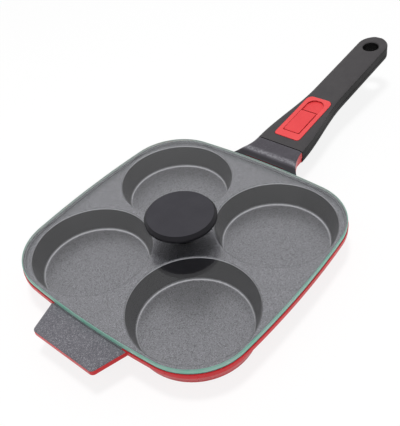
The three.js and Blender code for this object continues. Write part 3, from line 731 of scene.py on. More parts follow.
@dataclass(frozen=True)
class SpeckledCoat:
    """Cast-metal coat with light and dark specks, with painted shade on the cups' walls and on the stub's
    step, and painted highlights along the cups' edges and the stub's crest.
    """

    name: str
    deck: Colour
    tab: Colour
    stub: Colour
    # Darker colour painted on the stub's step down to the rim as painted shade
    slope: Colour
    fleck: Colour
    pit: Colour
    # Light colour painted in rings on the cups' floor edges and rims as painted highlights
    painted_highlight: Colour
    # Darker colour painted on the cups' walls as painted shade
    wall_shade: Colour
    middle_x: float
    lid_half: float
    crest: float
    cup_offset: float
    floor_ring: tuple[float, float]
    rim_ring: tuple[float, float]
    wall_shade_band: tuple[float, float]
    ring_soft: float = 0.2 * MM
    # Share of the painted highlight on the floor edges, weaker than on the rims
    floor_highlight_share: float = 0.45
    flakes: float = 0.68
    roughness: tuple[float, float] = (0.31, 0.37)
    drift_share: float = 0.06
    deck_specks: float = 0.7
    tab_specks: float = 0.6
    stub_specks: float = 0.12
    # Share of the light band painted along the stub's crest as a painted highlight
    crest_highlight_share: float = 0.5
    crest_rise: tuple[float, float] = (-0.6 * MM, 0.8 * MM)
    crest_fall: tuple[float, float] = (2.6 * MM, 5.6 * MM)
    crest_dip: tuple[float, float] = (-2.4 * MM, -0.4 * MM)

    def cup_edges(self, wiring: Wiring, place: Socket) -> tuple[Socket, ...]:
        """Gives the masks of the painted highlight rings along the cups' floors and rims, and of the painted
        shade on the cups' walls between them.

        Args:
            wiring: Wiring of the material.
            place: Object coordinates.

        Returns:
            The masks, 1 on the painted highlight rings and 1 on the painted shade of the cups' walls.
        """
        axes = wiring.add("SeparateXYZ", {0: place}).outputs
        from_middle = wiring.math("ABSOLUTE", wiring.math("SUBTRACT", axes[0], self.middle_x))
        along = wiring.math("SUBTRACT", from_middle, self.cup_offset)
        across = wiring.math("SUBTRACT", wiring.math("ABSOLUTE", axes[1]), self.cup_offset)
        flat = wiring.add("CombineXYZ", {0: along, 1: across}).outputs[0]
        aside = wiring.add("VectorMath", {0: flat}, operation="LENGTH").outputs["Value"]
        bands = []
        height = axes[2]
        spans = ((aside, self.floor_ring), (height, self.rim_ring), (height, self.wall_shade_band))
        for value, (low, high) in spans:
            rise = wiring.window(value, low - self.ring_soft, low + self.ring_soft)
            fall = wiring.window(value, high - self.ring_soft, high + self.ring_soft, 1.0, 0.0)
            bands.append(wiring.math("MULTIPLY", rise, fall))
        inside = wiring.math("LESS_THAN", aside, self.cup_offset)
        floors = wiring.math("MULTIPLY", bands[0], self.floor_highlight_share)
        # Painted highlights: rings along the floor edges and along the rims inside the cups
        rings = wiring.math("MAXIMUM", floors, wiring.math("MULTIPLY", bands[1], inside))
        # The second mask is the painted shade on the cups' walls
        return rings, wiring.math("MULTIPLY", bands[2], inside)

    def make(self) -> Material:
        """Builds the material, which is more speckled on the tab and smoother on the stub.

        Returns:
            The material.
        """
        material, wiring, shader = new_material(self.name)
        place = wiring.add("TexCoord").outputs["Object"]
        along = wiring.math("SUBTRACT", wiring.add("SeparateXYZ", {0: place}).outputs[0], self.middle_x)
        on_tab = wiring.window(along, -self.lid_half - MM, -self.lid_half + MM, 1.0, 0.0)
        on_stub = wiring.window(along, self.lid_half - MM, self.lid_half + MM)
        light = wiring.effect(Effect.GRAIN, scale=1450.0, low=0.52, high=0.64)
        dark = wiring.effect(Effect.GRAIN, scale=1250.0, low=0.46, high=0.36)
        drift = wiring.effect(Effect.MOTTLE, scale=38.0)
        ground = wiring.blend(on_stub, wiring.blend(on_tab, self.deck, self.tab), self.stub)
        drifting = wiring.math("MULTIPLY", drift.outputs["Mask"], self.drift_share)
        drifted = wiring.blend(drifting, ground, self.fleck)
        lidded = wiring.mix(on_tab, self.deck_specks, self.tab_specks)
        strength = wiring.mix(on_stub, lidded, self.stub_specks)
        flecked = wiring.blend(wiring.math("MULTIPLY", light.outputs["Mask"], strength), drifted, self.fleck)
        pitted = wiring.blend(wiring.math("MULTIPLY", dark.outputs["Mask"], strength), flecked, self.pit)
        rise, fall, dipping = (
            wiring.window(along, self.crest + low, self.crest + high, *ends)
            for (low, high), ends in (
                (self.crest_rise, (0.0, 1.0)),
                (self.crest_fall, (1.0, 0.0)),
                (self.crest_dip, (1.0, 0.0)),
            )
        )
        # Painted highlight: a ragged light band along the stub's rounded crest
        band = wiring.math("MULTIPLY", rise, fall)
        ragged = wiring.effect(Effect.GRAIN, scale=600.0, low=0.2)
        torn_highlight = wiring.math("MULTIPLY", band, ragged.outputs["Mask"])
        crest_highlight = wiring.math("MULTIPLY", torn_highlight, self.crest_highlight_share)
        # Painted shade on the stub's step before its crest
        slope_shade = wiring.math("MULTIPLY", on_stub, dipping)
        crested = wiring.blend(crest_highlight, wiring.blend(slope_shade, pitted, self.slope), self.fleck)
        rings, walls = self.cup_edges(wiring, place)
        # The painted shade on the cups' walls and the painted highlight rings go over the coat's colour
        colour = wiring.blend(rings, wiring.blend(walls, crested, self.wall_shade), self.painted_highlight)
        rough = wiring.window(drift.outputs["Height"], *NOISE_CORE, *self.roughness)
        height = wiring.math("ADD", light.outputs["Height"], dark.outputs["Height"])
        bump = wiring.bump(strength=0.22, distance=0.12 * MM, height=height)
        wiring.feed(shader, {"Base Color": colour, "Roughness": rough, "Normal": bump})
        flakes = wiring.mix(wiring.math("MAXIMUM", on_tab, on_stub), self.flakes, 0.0)
        wiring.feed(shader, {"Metallic": flakes, "Specular IOR Level": 0.3})
        return material


@dataclass(frozen=True)
class Enamel:
    """Glossy baked enamel with a slight orange peel."""

    name: str
    colour: Colour
    deep: Colour
    roughness: tuple[float, float] = (0.26, 0.36)

    def make(self) -> Material:
        """Builds the material.

        Returns:
            The material.
        """
        material, wiring, shader = new_material(self.name)
        drift = wiring.effect(Effect.MOTTLE, scale=30.0, low=0.25, high=0.75)
        peel = wiring.effect(Effect.GRAIN, scale=420.0)
        colour = wiring.blend(drift.outputs["Mask"], self.colour, self.deep)
        rough = wiring.window(peel.outputs["Height"], *NOISE_WHOLE, *self.roughness)
        bump = wiring.bump(strength=0.06, distance=0.1 * MM, height=peel.outputs["Height"])
        wiring.feed(shader, {"Base Color": colour, "Roughness": rough, "Normal": bump})
        wiring.feed(shader, {"Specular IOR Level": 0.2, "Coat Weight": 0.06, "Coat Roughness": 0.12})
        return material


@dataclass(frozen=True)
class MouldedPlastic:
    """Moulded plastic or rubber with a fine eroded grain."""

    name: str
    colour: Colour
    shade: Colour
    roughness: float
    grain: float = 0.12
    scale: float = 2600.0
    specular: float = 0.5
    span: float = 0.05

    def make(self) -> Material:
        """Builds the material.

        Returns:
            The material.
        """
        material, wiring, shader = new_material(self.name)
        grain = wiring.effect(Effect.GRAIN, self.scale)
        drift = wiring.effect(Effect.MOTTLE, scale=60.0)
        share = wiring.math("MULTIPLY", wiring.math("ADD", grain.outputs["Mask"], drift.outputs["Mask"]), 0.5)
        colour = wiring.blend(share, self.colour, self.shade)
        bounds = (self.roughness - self.span, self.roughness + self.span)
        rough = wiring.window(drift.outputs["Height"], *NOISE_WHOLE, *bounds)
        bump = wiring.bump(self.grain, distance=0.1 * MM, height=grain.outputs["Height"])
        wiring.feed(shader, {"Base Color": colour, "Roughness": rough, "Normal": bump})
        wiring.feed(shader, {"Specular IOR Level": self.specular})
        return material


@dataclass(frozen=True)
class RolledSteel:
    """Steel sheet or turned steel with faint rolling marks along X."""

    name: str
    colour: Colour
    shade: Colour
    roughness: float
    span: float = 0.07

    def make(self) -> Material:
        """Builds the material.

        Returns:
            The material.
        """
        material, wiring, shader = new_material(self.name)
        place = wiring.add("TexCoord").outputs["Object"]
        drawn = wiring.add("Mapping", {"Vector": place, "Scale": (0.06, 1.0, 1.0)}).outputs[0]
        inputs = {"Vector": drawn, "Scale": 1900.0, "Detail": 3.0, "Roughness": 0.6}
        lines = wiring.add("TexNoise", inputs).outputs[0]
        drift = wiring.effect(Effect.MOTTLE, scale=45.0)
        mixed = wiring.math("MULTIPLY", wiring.math("ADD", lines, drift.outputs["Mask"]), 0.5)
        colour = wiring.blend(mixed, self.colour, self.shade)
        bounds = (self.roughness - self.span, self.roughness + self.span)
        rough = wiring.window(lines, *NOISE_CORE, *bounds)
        bump = wiring.bump(strength=0.05, distance=0.05 * MM, height=lines)
        wiring.feed(shader, {"Base Color": colour, "Roughness": rough, "Normal": bump, "Metallic": 1.0})
        return material


@dataclass(frozen=True)
class ClearGlass:
    """Clear pane that lamps shine through, with the faintest smear in its polish."""

    name: str
    tint: Colour

    def make(self) -> Material:
        """Builds the material; only sight rays meet the glass, and light passes straight through.

        Returns:
            The material.
        """
        material, wiring, shader = new_material(self.name)
        smear = wiring.effect(Effect.MOTTLE, scale=25.0, low=0.35)
        rough = wiring.window(smear.outputs["Mask"], 0.0, 1.0, 0.0, 0.02)
        wiring.feed(shader, {"Base Color": self.tint, "Roughness": rough, "IOR": 1.5})
        wiring.feed(shader, {"Transmission Weight": 1.0})
        path = wiring.add("LightPath")
        within = wiring.math("MODULO", path.outputs["Transmission Depth"], 2.0)
        bounced = wiring.math("MULTIPLY", path.outputs["Is Glossy Ray"], within)
        seen = wiring.math("MAXIMUM", wiring.sight(path), bounced)
        wiring.show(seen, wiring.add("BsdfTransparent", {"Color": self.tint}), shader)
        return material


@dataclass(frozen=True)
class GroundEdge:
    """Ground edge of a glass pane, where its green shows."""

    name: str
    colour: Colour
    pale: Colour
    # Paler colour of the inner side, painted as light seen on the far edges
    through: Colour
    # Strength of the painted glow, though the edge is no lamp
    painted_glow: float
    roughness: tuple[float, float] = (0.3, 0.45)

    def make(self) -> Material:
        """Builds the material, with a painted glow of its own and a paler colour on its inner side as painted
        light.

        Returns:
            The material.
        """
        material, wiring, shader = new_material(self.name)
        drift = wiring.effect(Effect.MOTTLE, scale=55.0)
        grain = wiring.effect(Effect.GRAIN, scale=3000.0)
        inside = wiring.add("NewGeometry").outputs["Backfacing"]
        outside = wiring.blend(drift.outputs["Mask"], self.colour, self.pale)
        # Paler colour painted on the inner side as painted light
        colour = wiring.blend(inside, outside, self.through)
        painted_glow = wiring.blend(inside, self.pale, self.through)
        rough = wiring.window(grain.outputs["Height"], *NOISE_WHOLE, *self.roughness)
        bump = wiring.bump(strength=0.1, distance=0.05 * MM, height=grain.outputs["Height"])
        wiring.feed(shader, {"Base Color": colour, "Roughness": rough, "Normal": bump})
        wiring.feed(shader, {"IOR": 1.5, "Transmission Weight": 0.4})
        # Painted glow: the edge gives off light of its own though it is no lamp
        wiring.feed(shader, {"Emission Color": painted_glow, "Emission Strength": self.painted_glow})
        shaded = wiring.add("LightPath").outputs["Is Shadow Ray"]
        wiring.show(shaded, shader, wiring.add("BsdfTransparent", {"Color": self.pale}))
        return material


@dataclass(frozen=True)
class PaleFloor:
    """White studio floor that shows as a white background and keeps a faint shadow."""

    name: str
    colour: Colour
    glow: float

    def make(self) -> Material:
        """Builds the material; sight rays see it partly lit from within.

        Returns:
            The material.
        """
        material, wiring, shader = new_material(self.name)
        wiring.feed(shader, {"Base Color": self.colour, "Roughness": 0.9, "Specular IOR Level": 0.0})
        path = wiring.add("LightPath")
        seen = wiring.math("MAXIMUM", wiring.sight(path), path.outputs["Is Glossy Ray"])
        share = wiring.math("MULTIPLY", seen, self.glow)
        wiring.show(share, shader, wiring.add("Emission", {"Color": WHITE, "Strength": 1.0}))
        return material


def hand_over(piece: Piece, body: str, nodes: Sequence[str], where: Matrix) -> Piece:
    """Puts a finished piece where the frame has it, gives it its body, and hides the nodes that it stands
    for.

    Args:
        piece: The finished piece, in its working frame.
        body: CAD body that it rides on.
        nodes: CAD nodes that it replaces.
        where: Working frame in the frame's coordinates.

    Returns:
        The piece.
    """
    piece.matrix_world = where
    select_only(piece)
    bpy.ops.object.transform_apply(location=True, rotation=True, scale=True)
    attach(piece, body)
    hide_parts(*nodes)
    LOG.info("%s: %d faces, rides on %s", piece.name, len(piece.data.polygons), body)
    return piece


@dataclass(frozen=True)
class PanPlan:
    """Plan and levels that the pan and its lid share, about the pan's middle."""

    middle_x: float
    half: float = 104 * MM
    corner_r: float = 46 * MM
    side_r: float = 720 * MM
    side_steps: int = 14
    corner_steps: int = 24
    foot: float = 0.4 * MM
    deck: float = 23 * MM
    rim: float = 24 * MM
    glass: float = 24.3 * MM
    glass_top: float = 28.3 * MM

    def draw(self, name: str, inset: float, level: float) -> Piece:
        """Draws the pan's outline as a face: four bowed sides and four round corners.

        Args:
            name: Name of the new piece.
            inset: How far the outline is drawn in.
            level: Height of the face.

        Returns:
            The piece.
        """
        side_centre = self.side_r - self.half
        reach = self.side_r - self.corner_r
        corner = (math.sqrt(2 * reach**2 - side_centre**2) - side_centre) / 2
        turn = math.atan2(corner, corner + side_centre)
        side_r = self.side_r - inset
        start = (-side_centre + side_r * math.cos(turn), -side_r * math.sin(turn))
        arcs = []
        for quarter in range(4):
            angle = quarter * math.pi / 2
            x, y = math.cos(angle), math.sin(angle)
            arcs.append(Arc(-side_centre * x, -side_centre * y, 2 * turn, self.side_steps))
            bend = math.pi / 2 - 2 * turn
            arcs.append(Arc(corner * (x - y), corner * (x + y), bend, self.corner_steps))
        return draw_arcs(name, start, arcs, level)

    def where(self) -> Matrix:
        """Gives the pan's working frame."""
        return Matrix.Translation((self.middle_x, 0, 0))


@dataclass(frozen=True)
class GripLine:
    """Line of the handle, which the stub on the pan and the handle's shells share."""

    standoff: float = 27 * MM
    rise: float = 6.5 * MM
    slope: float = 0.11
    front_half: float = 22.4 * MM
    crown: float = 6 * MM
    belly: float = 10 * MM
    crown_round: float = 0.22
    belly_round: float = 0.5
    tongue_half: float = 10.4 * MM
    tongue_length: float = 40 * MM
    tongue_top: float = 8.3 * MM
    tongue_t: float = 4.2 * MM

    def in_pan(self, plan: PanPlan) -> Matrix:
        """Gives the handle's working frame beside the pan's."""
        origin = Matrix.Translation((plan.half + self.standoff, 0, plan.deck + self.rise))
        return origin @ Matrix.Rotation(-math.atan(self.slope), 4, "Y")

    def where(self, plan: PanPlan) -> Matrix:
        """Gives the handle's working frame in the frame's coordinates."""
        return plan.where() @ self.in_pan(plan)


@dataclass
class CastPan:
    """Cast pan: deck with four cups, lobed foot, helper tab and handle stub, and the plate under it."""

    plan: PanPlan
    grip: GripLine
    deck_t: float = 3.4 * MM
    edge: float = 0.6 * MM
    fuse: float = 1.7 * MM
    bead_w: float = 3 * MM
    cup_offset: float = 50 * MM
    cup_rim_r: float = 47 * MM
    cup_floor_r: float = 42 * MM
    cup_floor: float = 3.6 * MM
    cup_rim_round: float = 1.6 * MM
    cup_floor_round: float = 2.2 * MM
    cup_wall: float = 2.5 * MM
    cup_flare: float = 0.02 * MM
    cup_steps: int = 128
    lobe_r: float = 41.3 * MM
    notch_end: float = 49.5 * MM
    lobe_steps: int = 72
    notch_steps: int = 24
    foot_border: float = 3.2 * MM
    foot_bevel: float = 1.5 * MM
    plate_t: float = 0.8 * MM
    plate_edge: float = 0.25 * MM
    plate_hole_r: float = 24 * MM
    dot_pitch: float = 8.8 * MM
    dot_r: float = 2.3 * MM
    dot_depth: float = 0.3 * MM
    dot_field_r: float = 26 * MM
    dot_arm_half: float = 12 * MM
    dot_steps: int = 12
    dot_tilt: float = 0.1
    recess_r: float = 23 * MM
    recess_roof: float = 18 * MM
    recess_draft: float = 2 * MM
    dimple_r: float = 9 * MM
    dimple_depth: float = 6.5 * MM
    dimple_wall: float = 2.8 * MM
    tab_length: float = 23.5 * MM
    tab_root_half: float = 38 * MM
    tab_end_half: float = 29.5 * MM
    tab_t: float = 5 * MM
    tab_round: float = 3.5 * MM
    tab_buried: float = 4.2 * MM
    stub_root: float = 25 * MM
    stub_flare: float = 10 * MM
    stub_flare_power: float = 2.2
    stub_drop: float = 1.6 * MM
    stub_belly_round: float = 0.4
    stub_buried: float = 2.5 * MM
    stub_sunk: float = 0.3 * MM
    stub_foot: float = 1 * MM
    stub_crest: float = 9 * MM
    stub_climb: tuple[float, float] = (0.8, 0.2)
    coat_depth: float = 7 * MM
    coat_tilt: float = 0.3
    deck_tilt: float = 0.97
    block_root: float = 24 * MM
    block_ease: float = 5 * MM
    block_inset: float = 0.8 * MM
    block_end_drop: float = 7 * MM
    block_steps: int = 8
    tongue_round: float = 3 * MM
    tongue_buried: float = 3 * MM

    def cup_spots(self) -> list[tuple[float, float]]:
        """Gives the axes of the four cups in plan."""
        return [(x * self.cup_offset, y * self.cup_offset) for x in (1, -1) for y in (1, -1)]

    def flower(self, name: str, border: float, level: float) -> Piece:
        """Draws the four-lobed outline of the plate as a face.

        Args:
            name: Name of the new piece.
            border: How far the outline is grown.
            level: Height of the face.

        Returns:
            The piece.
        """
        back = self.notch_end - self.cup_offset
        notch_r = (back**2 + self.cup_offset**2 - self.lobe_r**2) / (2 * (self.lobe_r - back))
        notch_x = self.notch_end + notch_r
        lean = math.atan2(notch_x - self.cup_offset, self.cup_offset)
        lobe_r = self.lobe_r + border
        start = (self.cup_offset + lobe_r * math.sin(lean), self.cup_offset - lobe_r * math.cos(lean))
        arcs = []
        for quarter in range(4):
            angle = quarter * math.pi / 2
            x, y = math.cos(angle), math.sin(angle)
            lobe = (self.cup_offset * (x - y), self.cup_offset * (x + y))
            arcs.append(Arc(*lobe, 1.5 * math.pi - 2 * lean, self.lobe_steps))
            arcs.append(Arc(-notch_x * y, notch_x * x, 2 * lean - math.pi, self.notch_steps))
        return draw_arcs(name, start, arcs, level)

    def build_deck(self) -> Piece:
        """Makes the bowed deck with its raised rim.

        Returns:
            The form, in the pan's working frame.
        """
        under = self.plan.deck - self.deck_t
        deck = raise_face(self.plan.draw("cast_pan", 0.0, under), self.plan.rim - under)
        with editing(deck):
            grab(deck, Grab.FACES, lambda _, normal: normal.z > FACING_UP)
            bpy.ops.mesh.inset(thickness=self.bead_w)
            sunk = (0, 0, self.plan.deck - self.plan.rim)
            bpy.ops.mesh.extrude_region_move(TRANSFORM_OT_translate={"value": sunk})
        soften(deck, self.edge, level_edges(self.plan.rim))
        soften(deck, self.edge, level_edges(under))
        return deck

    def build_foot(self) -> Piece:
        """Makes the lobed foot under the cups, with its lower edge rounded.

        Returns:
            The form, in the pan's working frame.
        """
        top = self.plan.deck - self.deck_t + self.fuse
        foot = raise_face(self.flower("foot", self.foot_border, self.plan.foot), top - self.plan.foot)
        soften(foot, self.foot_bevel, level_edges(self.plan.foot), steps=4)
        return foot

    def build_cup_walls(self) -> Piece:
        """Makes the outsides of the four cups.

        Returns:
            The form, in the pan's working frame.
        """
        top = self.plan.deck - self.deck_t + self.fuse
        low = self.plan.foot + self.foot_bevel + self.edge
        foot_r = self.lobe_r + self.foot_border - self.edge / 4
        profile = [
            Corner(0, low),
            Corner(foot_r, low),
            Corner(self.cup_rim_r + self.cup_wall, top),
            Corner(0, top),
        ]
        return spread(turned("cup_walls", profile, self.cup_steps), self.cup_spots())

    def build_cup_spaces(self) -> Piece:
        """Makes the tool that hollows the four cups, with rounded floor edges and rims.

        Returns:
            The tool, a closed solid.
        """
        lip_r = self.cup_rim_r + self.cup_wall + self.cup_flare
        profile = [
            Corner(0, self.cup_floor),
            Corner(self.cup_floor_r, self.cup_floor, self.cup_floor_round),
            Corner(self.cup_rim_r, self.plan.deck, self.cup_rim_round),
            Corner(lip_r, self.plan.deck + self.cup_flare),
            Corner(lip_r, self.plan.deck + REACH),
            Corner(0, self.plan.deck + REACH),
        ]
        return spread(turned("cup_spaces", profile, self.cup_steps), self.cup_spots())

    def build_recess(self) -> Piece:
        """Makes the tool for the hollow under the deck's middle, round the dimple's underside.

        Returns:
            The tool, a closed solid.
        """
        outer_r = self.dimple_r + self.dimple_wall
        dimple_end = self.plan.deck - self.dimple_depth - self.dimple_wall
        return turned("recess", [
            Corner(0, -REACH),
            Corner(self.recess_r + self.recess_draft, -REACH),
            Corner(self.recess_r, self.plan.foot),
            Corner(self.recess_r - self.recess_draft, self.recess_roof, self.recess_draft),
            Corner(outer_r, self.recess_roof, self.recess_draft),
            Corner(outer_r - self.recess_draft, dimple_end, self.recess_draft),
            Corner(0, dimple_end),
        ])

    def build_dimple(self) -> Piece:
        """Makes the tool for the well that clears the screw under the lid.

        Returns:
            The tool, a closed solid.
        """
        floor = self.plan.deck - self.dimple_depth
        lip_r = self.dimple_r + self.cup_wall
        return turned("dimple", [
            Corner(0, floor),
            Corner(self.dimple_r - self.recess_draft, floor, self.recess_draft),
            Corner(self.dimple_r, self.plan.deck, self.cup_rim_round),
            Corner(lip_r, self.plan.deck + self.cup_flare),
            Corner(lip_r, self.plan.deck + REACH),
            Corner(0, self.plan.deck + REACH),
        ])

    def build_tab(self) -> Piece:
        """Makes the helper tab opposite the handle.

        Returns:
            The form, in the pan's working frame.
        """
        root, end = -self.plan.half + self.tab_buried, -self.plan.half - self.tab_length
        low = self.plan.deck - self.tab_t
        tab = slab("tab", [
            Corner(root, -self.tab_root_half),
            Corner(root, self.tab_root_half),
            Corner(end, self.tab_end_half, self.tab_round),
            Corner(end, -self.tab_end_half, self.tab_round),
        ], low, self.plan.deck)
        soften(tab, 2 * self.edge, level_edges(self.plan.deck), steps=4)
        soften(tab, self.edge, level_edges(low))
        return tab

    def stub_rise(self, x: float) -> float:
        """Gives the stub's height above its widest line, which steps down to the rim.

        Args:
            x: Station from the pan's middle.

        Returns:
            The height, square to the handle's line.
        """
        half = self.plan.half
        buried, foot, crest = half - self.stub_buried, half + self.stub_foot, half + self.stub_crest
        line = self.plan.deck + self.grip.rise + self.grip.slope * (x - half - self.grip.standoff)
        below_deck = self.plan.deck - self.stub_sunk - line
        at_rim = self.plan.rim - line
        if x <= foot:
            share = max(0.0, (x - buried) / (foot - buried))
            return self.grip.crown + below_deck + (at_rim - below_deck) * share
        climb = (x - foot) / (crest - foot)
        straight, bent = self.stub_climb
        if climb >= straight:
            climb = straight + bent * math.sin(min(1.0, (climb - straight) / (2 * bent)) * math.pi / 2)
        return self.grip.crown + at_rim * (1 - min(1.0, climb))

    def build_stub(self) -> Piece:
        """Makes the flared stub that carries the handle's crown back into the rim.

        Returns:
            The form, in the pan's working frame.
        """
        front = self.plan.half + self.grip.standoff
        slant = math.cos(math.atan(self.grip.slope))
        # In millimetres from the pan's middle, closest where the crest bends
        places = [99.5, 101.4, 103.2, 105, 106.6, 108.2, 109.8, 111.4, 112.4, 113.2, 114, 114.6]
        places += [117 + 2.2 * step for step in range(7)]
        stations = []
        for place in places:
            x = place * MM
            u = min(-CLEARANCE, (x - front) / slant)
            flare = self.stub_flare * (-u / self.stub_root) ** self.stub_flare_power
            stations.append(Station(u, self.grip.front_half + flare, self.stub_rise(x), self.stub_drop))
        stub = loft("stub", stations, self.grip.crown_round, self.stub_belly_round)
        return self.to_pan(stub)

    def build_block(self) -> Piece:
        """Makes the deep block under the stub, whose end rises towards the rim.

        Returns:
            The form, in the pan's working frame.
        """
        half = self.grip.front_half - self.block_inset
        rise = self.grip.crown - 2 * self.block_inset
        stations = []
        for step in range(self.block_steps + 1):
            turn = step / self.block_steps * math.pi / 2
            u = -self.block_root + self.block_ease * (1 - math.cos(turn))
            drop = self.block_end_drop + (self.grip.belly - self.block_end_drop) * math.sin(turn)
            stations.append(Station(u, half, rise, drop))
        stations.append(Station(-CLEARANCE, half, rise, self.grip.belly))
        return self.to_pan(loft("block", stations, self.grip.crown_round, self.grip.belly_round))

    def build_tongue(self) -> Piece:
        """Makes the flat tongue that the handle's socket slides over.

        Returns:
            The form, in the pan's working frame.
        """
        top = -self.grip.tongue_top
        tongue = slab("tongue", [
            Corner(-self.tongue_buried, -self.grip.tongue_half),
            Corner(self.grip.tongue_length, -self.grip.tongue_half, self.tongue_round),
            Corner(self.grip.tongue_length, self.grip.tongue_half, self.tongue_round),
            Corner(-self.tongue_buried, self.grip.tongue_half),
        ], top - self.grip.tongue_t, top)
        soften(tongue, self.edge, level_edges(top))
        soften(tongue, self.edge, level_edges(top - self.grip.tongue_t))
        return self.to_pan(tongue, drop=0.0)

    def to_pan(self, piece: Piece, drop: float | None = None) -> Piece:
        """Puts a form of the handle's line where it meets the pan.

        Args:
            piece: The form, whose widest line is at a height of 0 unless a drop is given.
            drop: How far it is let down first.

        Returns:
            The same piece, in the pan's working frame.
        """
        let_down = self.grip.crown if drop is None else drop
        piece.matrix_world = self.grip.in_pan(self.plan) @ Matrix.Translation((0, 0, -let_down))
        select_only(piece)
        bpy.ops.object.transform_apply(location=True, rotation=True, scale=True)
        return piece

    def is_coated(self, middle: Vector, normal: Vector) -> bool:
        """Tells whether a face of the casting has the coat, and not the enamel.

        Args:
            middle: Middle of the face.
            normal: Its normal.

        Returns:
            True on the deck, inside the cups, and on top of the tab and the stub.
        """
        aside = math.hypot(abs(middle.x) - self.cup_offset, abs(middle.y) - self.cup_offset)
        share = (middle.z - self.cup_floor) / (self.plan.deck - self.cup_floor)
        inside_r = self.cup_floor_r + (self.cup_rim_r - self.cup_floor_r) * share + self.cup_rim_round
        if middle.z > self.cup_floor - TOUCH and aside < inside_r:
            return True
        if math.hypot(middle.x, middle.y) < self.dimple_r + self.cup_rim_round and normal.z > -self.coat_tilt:
            return middle.z > self.recess_roof - self.dimple_wall
        on_rim = self.plan.half - self.bead_w < abs(middle.x) < self.plan.half + self.edge
        if on_rim and abs(middle.y) < self.tab_root_half and middle.z > self.plan.deck - TOUCH:
            return True
        if abs(middle.x) > self.plan.half + self.edge:
            depth = -(self.grip.in_pan(self.plan).inverted() @ middle).z
            return normal.z > self.coat_tilt and (middle.x < 0 or depth < self.coat_depth)
        inwards = middle.x * normal.x + middle.y * normal.y < 0
        return middle.z > self.plan.deck - TOUCH and (normal.z > self.deck_tilt or inwards)

    def build_casting(self, enamel: Material, coat: Material) -> Piece:
        """Casts the pan in one piece, enamelled outside and coated inside.

        Args:
            enamel: Finish of the outside.
            coat: Finish of the deck, cups and tops.

        Returns:
            The finished piece.
        """
        pan = self.build_deck()
        forms = (self.build_foot, self.build_cup_walls, self.build_stub, self.build_block)
        for form in (*forms, self.build_tongue, self.build_tab):
            combine(pan, form(), Join.ADD)
        for tool in (self.build_cup_spaces, self.build_recess, self.build_dimple):
            combine(pan, tool(), Join.CUT)
        bed = self.flower("plate_bed", CLEARANCE, -REACH)
        combine(pan, raise_face(bed, REACH + self.plate_t + CLEARANCE), Join.CUT)
        finish_in(pan, enamel, coat)
        paint(pan, 1, self.is_coated)
        smooth(pan)
        return hand_over(pan, "pan", ["pan_casting"], self.plan.where())

    def dot_spots(self) -> list[tuple[float, float]]:
        """Gives the places of the plate's dots, in staggered rows on the lobes and along the arms.

        Returns:
            The places in plan.
        """
        row_gap = self.dot_pitch * math.sqrt(3) / 2
        lobe_at = math.hypot(self.cup_offset, self.cup_offset)
        rows = math.ceil(2 * self.cup_offset / row_gap)
        spots = []
        for row in range(-rows, rows + 1):
            for column in range(-rows, rows + 1):
                x, y = (column + row % 2 / 2) * self.dot_pitch, row * row_gap
                to_lobe = math.hypot(abs(x) - self.cup_offset, abs(y) - self.cup_offset)
                clear = self.plate_hole_r + self.dot_pitch / 2 < math.hypot(x, y) < lobe_at
                on_arm = clear and abs(abs(x) - abs(y)) < self.dot_arm_half * math.sqrt(2)
                if to_lobe < self.dot_field_r or on_arm:
                    spots.append((x, y))
        return spots

    def build_plate(self, steel: Material, pressed: Material) -> Piece:
        """Makes the steel plate under the pan, with the round hole in its middle and its pressed dots.

        Args:
            steel: Finish of the plate.
            pressed: Brighter finish of its dots and edges.

        Returns:
            The finished piece.
        """
        plate = raise_face(self.flower("base_steel_plate", 0.0, 0.0), self.plate_t)
        combine(plate, drill("plate_hole", self.plate_hole_r), Join.CUT)
        soften(plate, self.plate_edge, level_edges(0.0), steps=2)
        dot = turned("plate_dots", [
            Corner(0, -REACH),
            Corner(self.dot_r, -REACH),
            Corner(self.dot_r, 0),
            Corner(self.dot_r / 2, self.dot_depth),
            Corner(0, self.dot_depth),
        ], self.dot_steps)
        combine(plate, spread(dot, self.dot_spots()), Join.CUT)
        finish_in(plate, steel, pressed)
        top = self.dot_depth + TOUCH
        paint(plate, 1, lambda middle, normal: TOUCH < middle.z < top and normal.z < -self.dot_tilt)
        smooth(plate)
        return hand_over(plate, "pan", ["base_plate"], self.plan.where())


